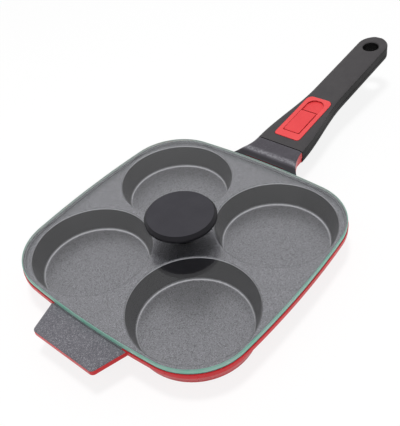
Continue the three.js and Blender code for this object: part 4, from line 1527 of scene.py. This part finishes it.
@dataclass
class GlassLid:
    """Flat glass lid and the disc knob that is screwed through it."""

    plan: PanPlan
    inset: float = 0.6 * MM
    edge: float = 0.7 * MM
    hole_r: float = 3.4 * MM
    hole_steps: int = 48
    ring_steps: int = 64
    knob_height: float = 19.6 * MM
    cap_r: float = 27.4 * MM
    cap_t: float = 7.2 * MM
    cap_top_inset: float = 2 * MM
    cap_under_inset: float = 3.4 * MM
    cap_top_bevel: float = 2.6 * MM
    cap_under_bevel: float = 2.4 * MM
    stem_base_r: float = 10 * MM
    stem_base_t: float = 2 * MM
    stem_waist_r: float = 7.5 * MM
    stem_waist_round: float = 3 * MM
    stem_top_r: float = 11.5 * MM
    spigot_r: float = 5 * MM
    spigot: float = 3 * MM
    gasket_t: float = 1 * MM
    washer_r: float = 7.5 * MM
    washer_t: float = 1.2 * MM
    screw_r: float = 2.4 * MM
    screw_length: float = 14 * MM
    thread_reach: float = 8.5 * MM
    head_r: float = 4.6 * MM
    head_t: float = 2.6 * MM
    cross_half: float = 2.6 * MM
    cross_depth: float = 1 * MM

    def build_pane(self, clear: Material, ground: Material) -> Piece:
        """Makes the pane, with rounded ground edges and the hole for the knob's screw.

        Args:
            clear: Finish of the two faces.
            ground: Finish of the edge and of the hole.

        Returns:
            The finished piece.
        """
        low, high = self.plan.glass, self.plan.glass_top
        pane = raise_face(self.plan.draw("clear_pane", self.inset, low), high - low)
        for level in (low, high):
            soften(pane, self.edge, level_edges(level), steps=4)
        combine(pane, drill("pane_hole", self.hole_r, self.hole_steps), Join.CUT)
        finish_in(pane, clear, ground)
        paint(pane, 1, lambda _, normal: abs(normal.z) < FLAT)
        smooth(pane)
        return hand_over(pane, "lid", ["glass_lid"], self.plan.where())

    def build_knob(self, plastic: Material, lit_top: Material) -> None:
        """Makes the disc cap and the stem of the knob.

        Args:
            plastic: Finish of both.
            lit_top: Lighter copy of the plastic, painted on the cap's flat top as painted light from above.
        """
        top = self.plan.glass_top + self.knob_height
        low = top - self.cap_t
        socket_r, socket_top = self.spigot_r + CLEARANCE, low + self.spigot + CLEARANCE
        cap = turned("knob_disc", [
            Corner(0, socket_top),
            Corner(socket_r, socket_top),
            Corner(socket_r, low),
            Corner(self.cap_r - self.cap_under_inset, low, self.edge),
            Corner(self.cap_r, low + self.cap_under_bevel, self.cap_under_bevel / 2),
            Corner(self.cap_r, top - self.cap_top_bevel, self.cap_top_bevel / 2),
            Corner(self.cap_r - self.cap_top_inset, top, self.edge / 2),
            Corner(0, top),
        ])
        base = self.plan.glass_top + self.gasket_t + 2 * CLEARANCE
        shoulder = low - CLEARANCE
        thread_top = self.plan.glass + self.thread_reach
        thread_r = self.screw_r + CLEARANCE
        stem = turned("knob_neck", [
            Corner(0, thread_top),
            Corner(thread_r, thread_top),
            Corner(thread_r, base),
            Corner(self.stem_base_r, base, self.edge / 2),
            Corner(self.stem_base_r, base + self.stem_base_t, self.edge),
            Corner(self.stem_waist_r, (base + shoulder) / 2, self.stem_waist_round),
            Corner(self.stem_top_r, shoulder),
            Corner(self.spigot_r, shoulder),
            Corner(self.spigot_r, shoulder + self.spigot),
            Corner(0, shoulder + self.spigot),
        ], self.ring_steps)
        for piece, node in ((cap, "knob_cap"), (stem, "knob_stem")):
            finish_in(piece, plastic, lit_top)
            # The lighter copy on the flat top is painted light from above; the darker rest stands for the
            # shaded sides
            paint(piece, 1, lambda middle, normal: normal.z > FLAT and middle.z > top - self.edge)
            smooth(piece)
            hand_over(piece, "lid", [node], self.plan.where())

    def build_rings(self, rubber: Material, steel: Material) -> None:
        """Makes the two gaskets and the washer round the knob's screw.

        Args:
            rubber: Finish of the gaskets.
            steel: Finish of the washer.
        """
        low = self.plan.glass - CLEARANCE - self.gasket_t
        rows = (
            ("upper_gasket", self.plan.glass_top + CLEARANCE, self.stem_base_r, self.gasket_t, rubber),
            ("lower_gasket", low, self.washer_r, self.gasket_t, rubber),
            ("steel_washer", low - CLEARANCE - self.washer_t, self.washer_r, self.washer_t, steel),
        )
        nodes = ("knob_upper_gasket", "knob_lower_gasket", "knob_washer")
        inner = self.screw_r + CLEARANCE
        for (name, level, radius, height, finish), node in zip(rows, nodes):
            ring = turned(name, [
                Corner(inner, level),
                Corner(radius, level, height / 4),
                Corner(radius, level + height, height / 4),
                Corner(inner, level + height),
            ], self.ring_steps, closed=True)
            finish_in(ring, finish)
            smooth(ring)
            hand_over(ring, "lid", [node], self.plan.where())

    def build_screw(self, steel: Material) -> Piece:
        """Makes the knob's screw, head down, with a cross recess in its head.

        Args:
            steel: Finish of the screw.

        Returns:
            The finished piece.
        """
        under = self.plan.glass - 3 * CLEARANCE - self.gasket_t - self.washer_t
        screw = turned("knob_fastener", [
            Corner(0, under - self.head_t),
            Corner(self.head_r, under - self.head_t, self.head_t / 2),
            Corner(self.head_r, under),
            Corner(self.screw_r, under),
            Corner(self.screw_r, under + self.screw_length),
            Corner(0, under + self.screw_length),
        ], self.hole_steps)
        cut_cross(screw, (0, 0, under - self.head_t), self.cross_half, self.cross_depth)
        finish_in(screw, steel)
        smooth(screw)
        return hand_over(screw, "lid", ["knob_screw"], self.plan.where())


def cut_cross(screw: Piece, spot: tuple[float, float, float], half: float, depth: float) -> None:
    """Cuts a cross recess up into the underside of a screw's head.

    Args:
        screw: The screw, head down.
        spot: Lowest point of the head, on its axis.
        half: Half the length of the cross.
        depth: Depth of the cross.
    """
    narrow = half / 5
    for long, wide in ((half, narrow), (narrow, half)):
        bar = strip("cross_bar", (-long, long), wide, (spot[2] - MM, spot[2] + depth))
        combine(screw, shift(bar, (spot[0], spot[1], 0)), Join.CUT)


@dataclass
class PullOffHandle:
    """Pull-off handle: two shells, the bezel with its key, and the screws that hold the shells."""

    plan: PanPlan
    grip: GripLine
    length: float = 176 * MM
    grip_half: float = 14.4 * MM
    taper: float = 80 * MM
    taper_steps: int = 24
    end_length: float = 14 * MM
    end_edge: float = 0.5 * MM
    end_power: float = 2.0
    end_turn: float = 87.0
    end_steps: int = 26
    hang_r: float = 7.4 * MM
    hang_inset: float = 17 * MM
    hang_chamfer: float = 1 * MM
    parting: float = 8 * MM
    seam_edge: float = 0.25 * MM
    bezel_start: float = 9.2 * MM
    bezel_end: float = 67.8 * MM
    bezel_front_half: float = 12.6 * MM
    bezel_rear_half: float = 12.3 * MM
    bezel_front_round: float = 3 * MM
    bezel_rear_round: float = 5.5 * MM
    bezel_proud: float = 0.5 * MM
    bezel_depth: float = 2.6 * MM
    bezel_edge: float = 0.4 * MM
    well_start: float = 17.1 * MM
    well_end: float = 63.8 * MM
    well_half: float = 8.2 * MM
    well_floor: float = 1 * MM
    well_round: float = 1.2 * MM
    well_edge: float = 0.3 * MM
    groove_start: float = 46.8 * MM
    groove_end: float = 49.2 * MM
    groove_depth: float = 1.9 * MM
    key_length: float = 29.1 * MM
    key_gap: float = 0.5 * MM
    key_proud: float = 0.9 * MM
    key_edge: float = 0.4 * MM
    slot_start: float = 27 * MM
    slot_end: float = 46.3 * MM
    slot_half: float = 3.2 * MM
    bay_start: float = 15 * MM
    bay_end: float = 62.3 * MM
    bay_half: float = 9.8 * MM
    screw_r: float = 1.4 * MM
    head_r: float = 2.2 * MM
    head_t: float = 1.6 * MM
    head_deep: float = 12.3 * MM
    screw_tip: float = 3 * MM
    screw_steps: int = 40
    cross_half: float = 1.3 * MM
    cross_depth: float = 0.7 * MM
    flank_tilt: float = 0.55
    spring_start: float = 44.65 * MM
    spring_end: float = 61.65 * MM
    spring_deep: float = 5.05 * MM
    spring_r: float = 1.6 * MM
    wire_r: float = 0.35 * MM
    wire_sides: int = 10
    spring_turns: int = 8
    spring_steps: int = 24
    spring_keep: float = 0.49

    def screw_spots(self) -> dict[str, tuple[float, float]]:
        """Gives the shell screws' places by their node's names.

        Returns:
            Each screw's place along and across the handle.
        """
        return {
            "shell_screw_left": (34 * MM, 14 * MM),
            "shell_screw_right": (34 * MM, -14 * MM),
            "shell_screw_middle": (73 * MM, 0.0),
            "shell_screw_rear": (143 * MM, 0.0),
        }

    def half_at(self, u: float) -> float:
        """Gives the handle's half width at a station."""
        return self.grip_half + (self.grip.front_half - self.grip_half) * ease(1 - u / self.taper)

    def build_form(self) -> Piece:
        """Makes the whole outer form, from its flat front to its rounded end.

        Returns:
            The form, with the handle's top at a height of 0.
        """
        stations = []
        for step in range(self.taper_steps + 1):
            u = self.taper * step / self.taper_steps
            stations.append(Station(u, self.half_at(u), self.grip.crown, self.grip.belly))
        for step in range(self.end_steps + 1):
            turn = math.radians(self.end_turn) * step / self.end_steps
            u = self.length - self.end_length * (1 - math.sin(turn))
            into = max(0.0, (u - self.length + self.end_edge) / self.end_edge)
            squeeze = (1 - into**self.end_power) ** (1 / self.end_power)
            half = self.half_at(u) * math.cos(turn) ** (2 / self.end_power)
            stations.append(Station(u, half, self.grip.crown * squeeze, self.grip.belly * squeeze))
        form = loft("handle_form", stations, self.grip.crown_round, self.grip.belly_round)
        return shift(form, (0, 0, -self.grip.crown))

    def bezel_outline(self, grow: float) -> list[Corner]:
        """Gives the corners of the bezel, grown all round.

        Args:
            grow: How far the outline is moved out.

        Returns:
            The corners in order.
        """
        start, end = self.bezel_start - grow, self.bezel_end + grow
        front, rear = self.bezel_front_half + grow, self.bezel_rear_half + grow
        return [
            Corner(start, -front, self.bezel_front_round + grow),
            Corner(end, -rear, self.bezel_rear_round + grow),
            Corner(end, rear, self.bezel_rear_round + grow),
            Corner(start, front, self.bezel_front_round + grow),
        ]

    def build_hole(self) -> Piece:
        """Makes the tool for the hanging hole, flared at both ends.

        Returns:
            The tool, a closed solid.
        """
        bottom = -self.grip.crown - self.grip.belly
        flare = self.hang_r + self.hang_chamfer
        hole = turned("hanging_hole", [
            Corner(0, bottom - REACH),
            Corner(flare + REACH, bottom - REACH),
            Corner(flare, bottom),
            Corner(self.hang_r, bottom + self.hang_chamfer, self.hang_chamfer),
            Corner(self.hang_r, -self.hang_chamfer, self.hang_chamfer),
            Corner(flare, 0),
            Corner(flare + REACH, REACH),
            Corner(0, REACH),
        ])
        return shift(hole, (self.length - self.hang_inset, 0, 0))

    def build_screw(self, name: str, clearance: float, below: float) -> Piece:
        """Makes a shell screw, or with a clearance the stepped hole that it goes through.

        Args:
            name: Name of the new piece.
            clearance: How far all its faces are moved out.
            below: Height of the head, or depth of the hole under it.

        Returns:
            The piece, on the handle's own axis.
        """
        shoulder = -self.head_deep
        return turned(name, [
            Corner(0, shoulder - below),
            Corner(self.head_r + clearance, shoulder - below, 0 if clearance else self.head_t / 2),
            Corner(self.head_r + clearance, shoulder + clearance),
            Corner(self.screw_r + clearance, shoulder + clearance),
            Corner(self.screw_r + clearance, -self.screw_tip + clearance),
            Corner(0, -self.screw_tip + clearance),
        ], self.screw_steps)

    def build_shell(self, upper: bool, plastic: Material, dark: Material) -> Piece:
        """Makes one shell: the form cut at the parting plane, with its holes and hollows.

        Args:
            upper: True for the top shell, False for the underside.
            plastic: Finish of the handle's top.
            dark: Near-black copy of the plastic, painted on its flanks, hole and underside as painted shade.

        Returns:
            The finished piece.
        """
        shell = self.build_form()
        shell.name = "handle_top" if upper else "handle_underside"
        level = -self.parting + (CLEARANCE / 2 if upper else -CLEARANCE / 2)
        with editing(shell):
            bpy.ops.mesh.bisect(
                plane_co=(0, 0, level),
                plane_no=(0, 0, 1),
                use_fill=True,
                clear_inner=upper,
                clear_outer=not upper,
            )
        soften(shell, self.seam_edge, level_edges(level), steps=2)
        combine(shell, self.build_hole(), Join.CUT)
        holes = spread(self.build_screw("screw_holes", CLEARANCE, REACH), list(self.screw_spots().values()))
        combine(shell, holes, Join.CUT)
        if upper:
            recess = slab("recess", self.bezel_outline(CLEARANCE), -self.bezel_depth - CLEARANCE, REACH)
            combine(shell, recess, Join.CUT)
            bay = strip("bay", (self.bay_start, self.bay_end), self.bay_half, (-REACH, REACH))
            combine(shell, bay, Join.CUT)
        else:
            floor = -self.grip.tongue_top - self.grip.tongue_t - CLEARANCE
            along = (-REACH, self.grip.tongue_length + CLEARANCE)
            socket = strip("socket", along, self.grip.tongue_half + CLEARANCE, (floor, REACH))
            combine(shell, socket, Join.CUT)
        finish_in(shell, plastic, dark)
        # Flanks, hole and underside get the near-black copy as painted shade
        paint(shell, 1, lambda _, normal: normal.z < self.flank_tilt)
        smooth(shell)
        node = "handle_upper_shell" if upper else "handle_lower_shell"
        return hand_over(shell, "handle", [node], self.grip.where(self.plan))

    def in_well(self, middle: Vector) -> bool:
        """Tells whether a spot lies within the well's outline."""
        along = self.well_start - TOUCH < middle.x < self.well_end + TOUCH
        return along and abs(middle.y) < self.well_half + TOUCH

    def build_bezel(self, plastic: Material, floor: Material, deep: Material) -> Piece:
        """Makes the bezel, with the half-round well and the slot and groove in the well's floor.

        Args:
            plastic: Finish of the bezel.
            floor: The key's slightly darker red, painted on the well's floor as painted shade.
            deep: Darker red painted on the well's walls and broken edge as painted shade.

        Returns:
            The piece.
        """
        bezel = slab("key_bezel", self.bezel_outline(0.0), -self.bezel_depth, self.bezel_proud)
        soften(bezel, self.bezel_edge, level_edges(self.bezel_proud))
        rear = self.well_half - self.well_round / 4
        well = slab("well", [
            Corner(self.well_start, -self.well_half, self.well_round),
            Corner(self.well_end, -self.well_half, rear),
            Corner(self.well_end, self.well_half, rear),
            Corner(self.well_start, self.well_half, self.well_round),
        ], -self.well_floor, REACH)
        combine(bezel, well, Join.CUT)
        at_top = level_edges(self.bezel_proud)

        def round_well(middle: Vector, along: Vector) -> bool:
            """Tells whether an edge is on the well's upper outline."""
            return at_top(middle, along) and self.in_well(middle)

        soften(bezel, self.well_edge, round_well, steps=1)
        slot = strip("slot", (self.slot_start, self.slot_end), self.slot_half, (-REACH, REACH))
        combine(bezel, slot, Join.CUT)
        along = (self.groove_start, self.groove_end)
        groove = strip("groove", along, self.well_half - self.key_gap, (-self.groove_depth, REACH))
        combine(bezel, groove, Join.CUT)
        finish_in(bezel, plastic, floor, deep)

        def sunk(middle: Vector) -> bool:
            """Tells whether a face lies in the well, below the bezel's top."""
            return self.in_well(middle) and middle.z < self.bezel_proud - TOUCH

        # Painted shade: the key's darker red on the well's floor
        paint(bezel, 1, lambda middle, normal: sunk(middle) and normal.z > FACING_UP)
        # Painted shade: a deeper red on the well's walls and broken edge
        paint(bezel, 2, lambda middle, normal: sunk(middle) and abs(normal.z) < FACING_UP)
        smooth(bezel)
        return hand_over(bezel, "handle", ["release_bezel"], self.grip.where(self.plan))

    def build_key(self, plastic: Material) -> Piece:
        """Makes the slide key, with its upper edges rounded.

        Args:
            plastic: Finish of the key.

        Returns:
            The finished piece.
        """
        start, half = self.well_start + CLEARANCE, self.well_half - self.key_gap
        outline = oblong(start, start + self.key_length, half, self.well_round)
        key = slab("slide_key", outline, CLEARANCE - self.well_floor, self.key_proud)
        soften(key, self.key_edge, level_edges(self.key_proud))
        finish_in(key, plastic)
        smooth(key)
        return hand_over(key, "key", ["release_key"], self.grip.where(self.plan))

    def build_screws(self, steel: Material) -> None:
        """Makes one shell screw with a cross recess and copies it to each of the four places.

        Args:
            steel: Finish of the screws.
        """
        first = self.build_screw("shell_fastener", 0.0, self.head_t)
        cut_cross(first, (0, 0, -self.head_deep - self.head_t), self.cross_half, self.cross_depth)
        finish_in(first, steel)
        smooth(first)
        for node, (u, v) in self.screw_spots().items():
            twin = twin_of(first)
            twin.name = node.replace("screw", "fastener")
            where = self.grip.where(self.plan) @ Matrix.Translation((u, v, 0))
            hand_over(twin, "handle", [node], where)
        bpy.data.objects.remove(first)

    def build_spring(self, steel: Material) -> Piece:
        """Winds the key's spring behind the carriage.

        Args:
            steel: Finish of the wire.

        Returns:
            The finished piece.
        """
        bpy.ops.object.select_all(action="DESELECT")
        bpy.ops.mesh.primitive_circle_add(
            vertices=self.wire_sides,
            radius=self.wire_r,
            location=(self.spring_start, 0, self.spring_r),
            rotation=(math.pi / 2, 0, 0),
        )
        spring = bpy.context.object
        spring.name = "key_coil"
        bpy.ops.object.transform_apply(location=True, rotation=True, scale=True)
        coil = spring.modifiers.new("coil", "SCREW")
        coil.axis = "X"
        coil.screw_offset = (self.spring_end - self.spring_start) / self.spring_turns
        coil.iterations = self.spring_turns
        coil.steps = coil.render_steps = self.spring_steps
        bpy.ops.object.modifier_apply(modifier=coil.name)
        with editing(spring):
            bpy.ops.mesh.select_all(action="SELECT")
            bpy.ops.mesh.fill_holes(sides=0)
            clean()
        shift(spring, (0, 0, -self.spring_deep))
        finish_in(spring, steel)
        smooth(spring)
        where = self.grip.where(self.plan)
        hand_over(spring, "handle", ["key_spring"], where)
        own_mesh(spring)
        return spring


@dataclass
class Studio:
    """White floor, soft light from above and a little behind, and the camera."""

    plan: PanPlan
    floor_size: float = 8.0
    azimuth: float = -43.50
    elevation: float = 43.39
    roll: float = -9.31
    distance: float = 466.31 * MM
    focal_px: float = 610.36
    centre_px: tuple[float, float] = (-16.14, 24.30)
    sensor: float = 36.0
    ambient: float = 0.55
    lean: float = 0.1
    sink: float = 0.2
    overhead: float = 0.55
    sheen: float = 1.0
    horizon: tuple[float, float] = (0.05, 0.4)
    pane_depth: float = 1.5
    key_elevation: float = 92.0
    key_turn: float = 226.5
    key_distance: float = 1.4
    key_size: float = 0.28
    key_watts: float = 13.5

    def target(self) -> Vector:
        """Gives the middle of the deck, which the camera and the lamps are set out from."""
        return Vector((self.plan.middle_x, 0, self.plan.deck))

    def build_floor(self, white: Material) -> None:
        """Lays the floor.

        Args:
            white: Its finish.
        """
        bpy.ops.object.select_all(action="DESELECT")
        bpy.ops.mesh.primitive_plane_add(size=self.floor_size)
        floor = bpy.context.object
        floor.name = "studio_floor"
        with editing(floor):
            bpy.ops.mesh.subdivide(number_cuts=1)
        floor.data.materials.append(white)

    def build_world(self) -> None:
        """Sets the light from all round: stronger from behind and low down, and white in sight.

        Mirrors see it dim overhead, apart from those under the glass, which see it white.
        """
        world = bpy.data.worlds.new("studio_world")
        bpy.context.scene.world = world
        world.use_nodes = True
        world.node_tree.nodes.clear()
        wiring = Wiring(world.node_tree)
        way = wiring.add("TexCoord").outputs["Generated"]
        turn = math.radians(self.key_turn)
        behind = (-math.cos(turn), -math.sin(turn), 0.0)
        facing = wiring.add("VectorMath", {0: way, 1: behind}, operation="DOT_PRODUCT").outputs["Value"]
        leaned = wiring.math("MULTIPLY_ADD", facing, self.ambient * self.lean)
        wiring.feed(leaned.node, {2: self.ambient})
        height = wiring.add("SeparateXYZ", {0: way}).outputs[2]
        sunk = wiring.math("MULTIPLY_ADD", height, -2 * self.sink)
        wiring.feed(sunk.node, {2: 1 + self.sink})
        soft = wiring.math("MULTIPLY", leaned, sunk)
        backdrop = wiring.window(height, *self.horizon, 1.0, self.overhead)
        path = wiring.add("LightPath").outputs
        under_glass = wiring.math("GREATER_THAN", path["Transmission Depth"], self.pane_depth)
        from_coat = wiring.math("SUBTRACT", under_glass, path["Is Transmission Ray"])
        mirrored = wiring.mix(from_coat, backdrop, self.sheen)
        bounced = wiring.math("MAXIMUM", path["Is Glossy Ray"], path["Is Transmission Ray"])
        unseen = wiring.mix(bounced, soft, mirrored)
        strength = wiring.mix(path["Is Camera Ray"], unseen, 1.0)
        light = wiring.add("Background", {"Color": WHITE, "Strength": strength})
        wiring.add("OutputWorld", {"Surface": light.outputs[0]})

    def build_key(self, pane: Piece) -> None:
        """Hangs the softbox above the pan, a little behind it, with no mirror image in the lid.

        Args:
            pane: Glass of the lid.
        """
        turn, lift = math.radians(self.key_turn), math.radians(self.key_elevation)
        away = Vector((math.cos(turn) * math.cos(lift), math.sin(turn) * math.cos(lift), math.sin(lift)))
        lamp = bpy.data.lights.new("softbox", "AREA")
        lamp.shape = "DISK"
        lamp.size = self.key_size
        lamp.energy = self.key_watts
        box = bpy.data.objects.new("softbox", lamp)
        bpy.context.scene.collection.objects.link(box)
        box.location = self.target() + away * self.key_distance
        box.rotation_mode = "QUATERNION"
        box.rotation_quaternion = (-away).to_track_quat("-Z", "Y")
        box.visible_glossy = False
        spared = bpy.data.collections.new("spared_glass")
        spared.objects.link(pane)
        spared.collection_objects[0].light_linking.link_state = "EXCLUDE"
        box.light_linking.receiver_collection = spared

    def build_camera(self) -> None:
        """Sets the camera at the photograph's angle and frame."""
        turn, lift, roll = (math.radians(x) for x in (self.azimuth, self.elevation, self.roll))
        back = Vector((math.sin(turn) * math.cos(lift), -math.cos(turn) * math.cos(lift), math.sin(lift)))
        level = Vector((math.cos(turn), math.sin(turn), 0))
        upright = back.cross(level)
        right = level * math.cos(roll) + upright * math.sin(roll)
        up = upright * math.cos(roll) - level * math.sin(roll)
        lens = bpy.data.cameras.new("camera")
        long_side = max(IMAGE_WIDTH, IMAGE_HEIGHT)
        lens.sensor_width = self.sensor
        lens.lens = self.focal_px / long_side * self.sensor
        lens.shift_x = -self.centre_px[0] / long_side
        lens.shift_y = self.centre_px[1] / long_side
        lens.clip_start = 0.01
        camera = bpy.data.objects.new("camera", lens)
        bpy.context.scene.collection.objects.link(camera)
        turned_to = Matrix((right, up, back)).transposed().to_4x4()
        camera.matrix_world = Matrix.Translation(self.target() + back * self.distance) @ turned_to
        bpy.context.scene.camera = camera


def dress_nodes(nodes: dict[str, Piece], finish: Material, names: Sequence[str]) -> None:
    """Gives CAD nodes that stay as they are a finish.

    Args:
        nodes: All CAD nodes by name.
        finish: The material.
        names: Which nodes get it.
    """
    for name in names:
        nodes[name].data.materials.clear()
        nodes[name].data.materials.append(finish)
        LOG.info("%s: kept from the frame", name)


def main() -> None:
    """Loads the frame, builds and dresses each sub-assembly, and sets up the studio."""
    logging.basicConfig(level=logging.INFO, format="%(name)s: %(message)s")
    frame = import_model()
    bpy.context.scene.view_settings.view_transform = "Standard"

    low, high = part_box("glass_lid")
    plan = PanPlan((low.x + high.x) / 2)
    grip = GripLine()
    pan = CastPan(plan, grip)
    coat = SpeckledCoat(
        "speckled_coat",
        deck=srgb(119, 118, 123),
        tab=srgb(96, 95, 101),
        stub=srgb(68, 65, 71),
        # Painted shade of the stub's step
        slope=srgb(50, 48, 52),
        fleck=srgb(160, 159, 165),
        pit=srgb(68, 67, 72),
        # Painted highlight of the cups' floor edges and rims
        painted_highlight=srgb(226, 225, 229),
        # Painted shade of the cups' walls
        wall_shade=srgb(67, 66, 70),
        middle_x=plan.middle_x,
        lid_half=plan.half,
        crest=plan.half + pan.stub_crest,
        cup_offset=pan.cup_offset,
        # Bands of the painted highlight rings on the floor edges and rims
        floor_ring=(41.3 * MM, 41.9 * MM),
        rim_ring=(21.95 * MM, 22.2 * MM),
        # Heights of the painted shade on the cups' walls
        wall_shade_band=(5.4 * MM, 21.7 * MM),
    ).make()
    enamel = Enamel("red_enamel", srgb(214, 28, 38), srgb(196, 22, 30)).make()
    steel = RolledSteel("rolled_steel", srgb(214, 214, 216), srgb(190, 190, 194), 0.38).make()
    pressed = RolledSteel("pressed_steel", srgb(238, 238, 240), srgb(224, 224, 228), 0.24).make()
    bright = RolledSteel("turned_steel", srgb(190, 190, 195), srgb(150, 150, 156), 0.3).make()
    grey = MouldedPlastic("grey_grip", srgb(73, 71, 72), srgb(65, 63, 65), 0.5, specular=0.2).make()
    # Near-black copy of the grip plastic, painted on the handle's flanks as painted shade
    flank_shade = MouldedPlastic("painted_shade_flank", srgb(25, 24, 25), srgb(20, 19, 20), 0.5, specular=0.12).make()
    black = MouldedPlastic("black_knob", srgb(32, 31, 35), srgb(27, 26, 30), 0.42, specular=0.2).make()
    # Lighter copy of the knob's plastic, painted on its top as painted light
    lit_knob_top = MouldedPlastic("painted_light_knob_top", srgb(59, 58, 63), srgb(53, 52, 57), 0.5, specular=0.2).make()
    coral = MouldedPlastic("coral_bezel", srgb(230, 78, 79), srgb(218, 68, 71), 0.4, 0.06).make()
    red = MouldedPlastic("red_key", srgb(226, 70, 72), srgb(214, 60, 64), 0.42, 0.1).make()
    # Darker red painted in the bezel's well as painted shade
    deep = MouldedPlastic("painted_shade_red_edge", srgb(176, 32, 38), srgb(160, 26, 32), 0.42, 0.1).make()
    rubber = MouldedPlastic("gasket_rubber", srgb(60, 60, 62), srgb(44, 44, 46), 0.7, 0.2, 900.0).make()
    clear = ClearGlass("clear_glass", (0.994, 1.0, 0.998, 1.0)).make()
    ground = GroundEdge(
        "ground_edge",
        colour=srgb(98, 204, 172),
        pale=srgb(164, 206, 194),
        # Paler inner colour as painted light, and the strength of the painted glow
        through=srgb(190, 204, 198),
        painted_glow=0.14,
    ).make()
    white = PaleFloor("pale_floor", (0.9, 0.9, 0.9, 1.0), 0.85).make()

    pan.build_casting(enamel, coat)
    pan.build_plate(steel, pressed)
    lid = GlassLid(plan)
    pane = lid.build_pane(clear, ground)
    lid.build_knob(black, lit_knob_top)
    lid.build_rings(rubber, bright)
    lid.build_screw(bright)
    handle = PullOffHandle(plan, grip)
    for upper in (True, False):
        handle.build_shell(upper, grey, flank_shade)
    handle.build_bezel(coral, red, deep)
    handle.build_key(red)
    handle.build_screws(bright)
    handle.build_spring(bright)
    dress_nodes(frame["nodes"], black, ["key_carriage"])
    dress_nodes(frame["nodes"], bright, ["clamp_shoe"])

    studio = Studio(plan)
    studio.build_floor(white)
    studio.build_world()
    studio.build_key(pane)
    studio.build_camera()


if __name__ == "__main__":
    main()
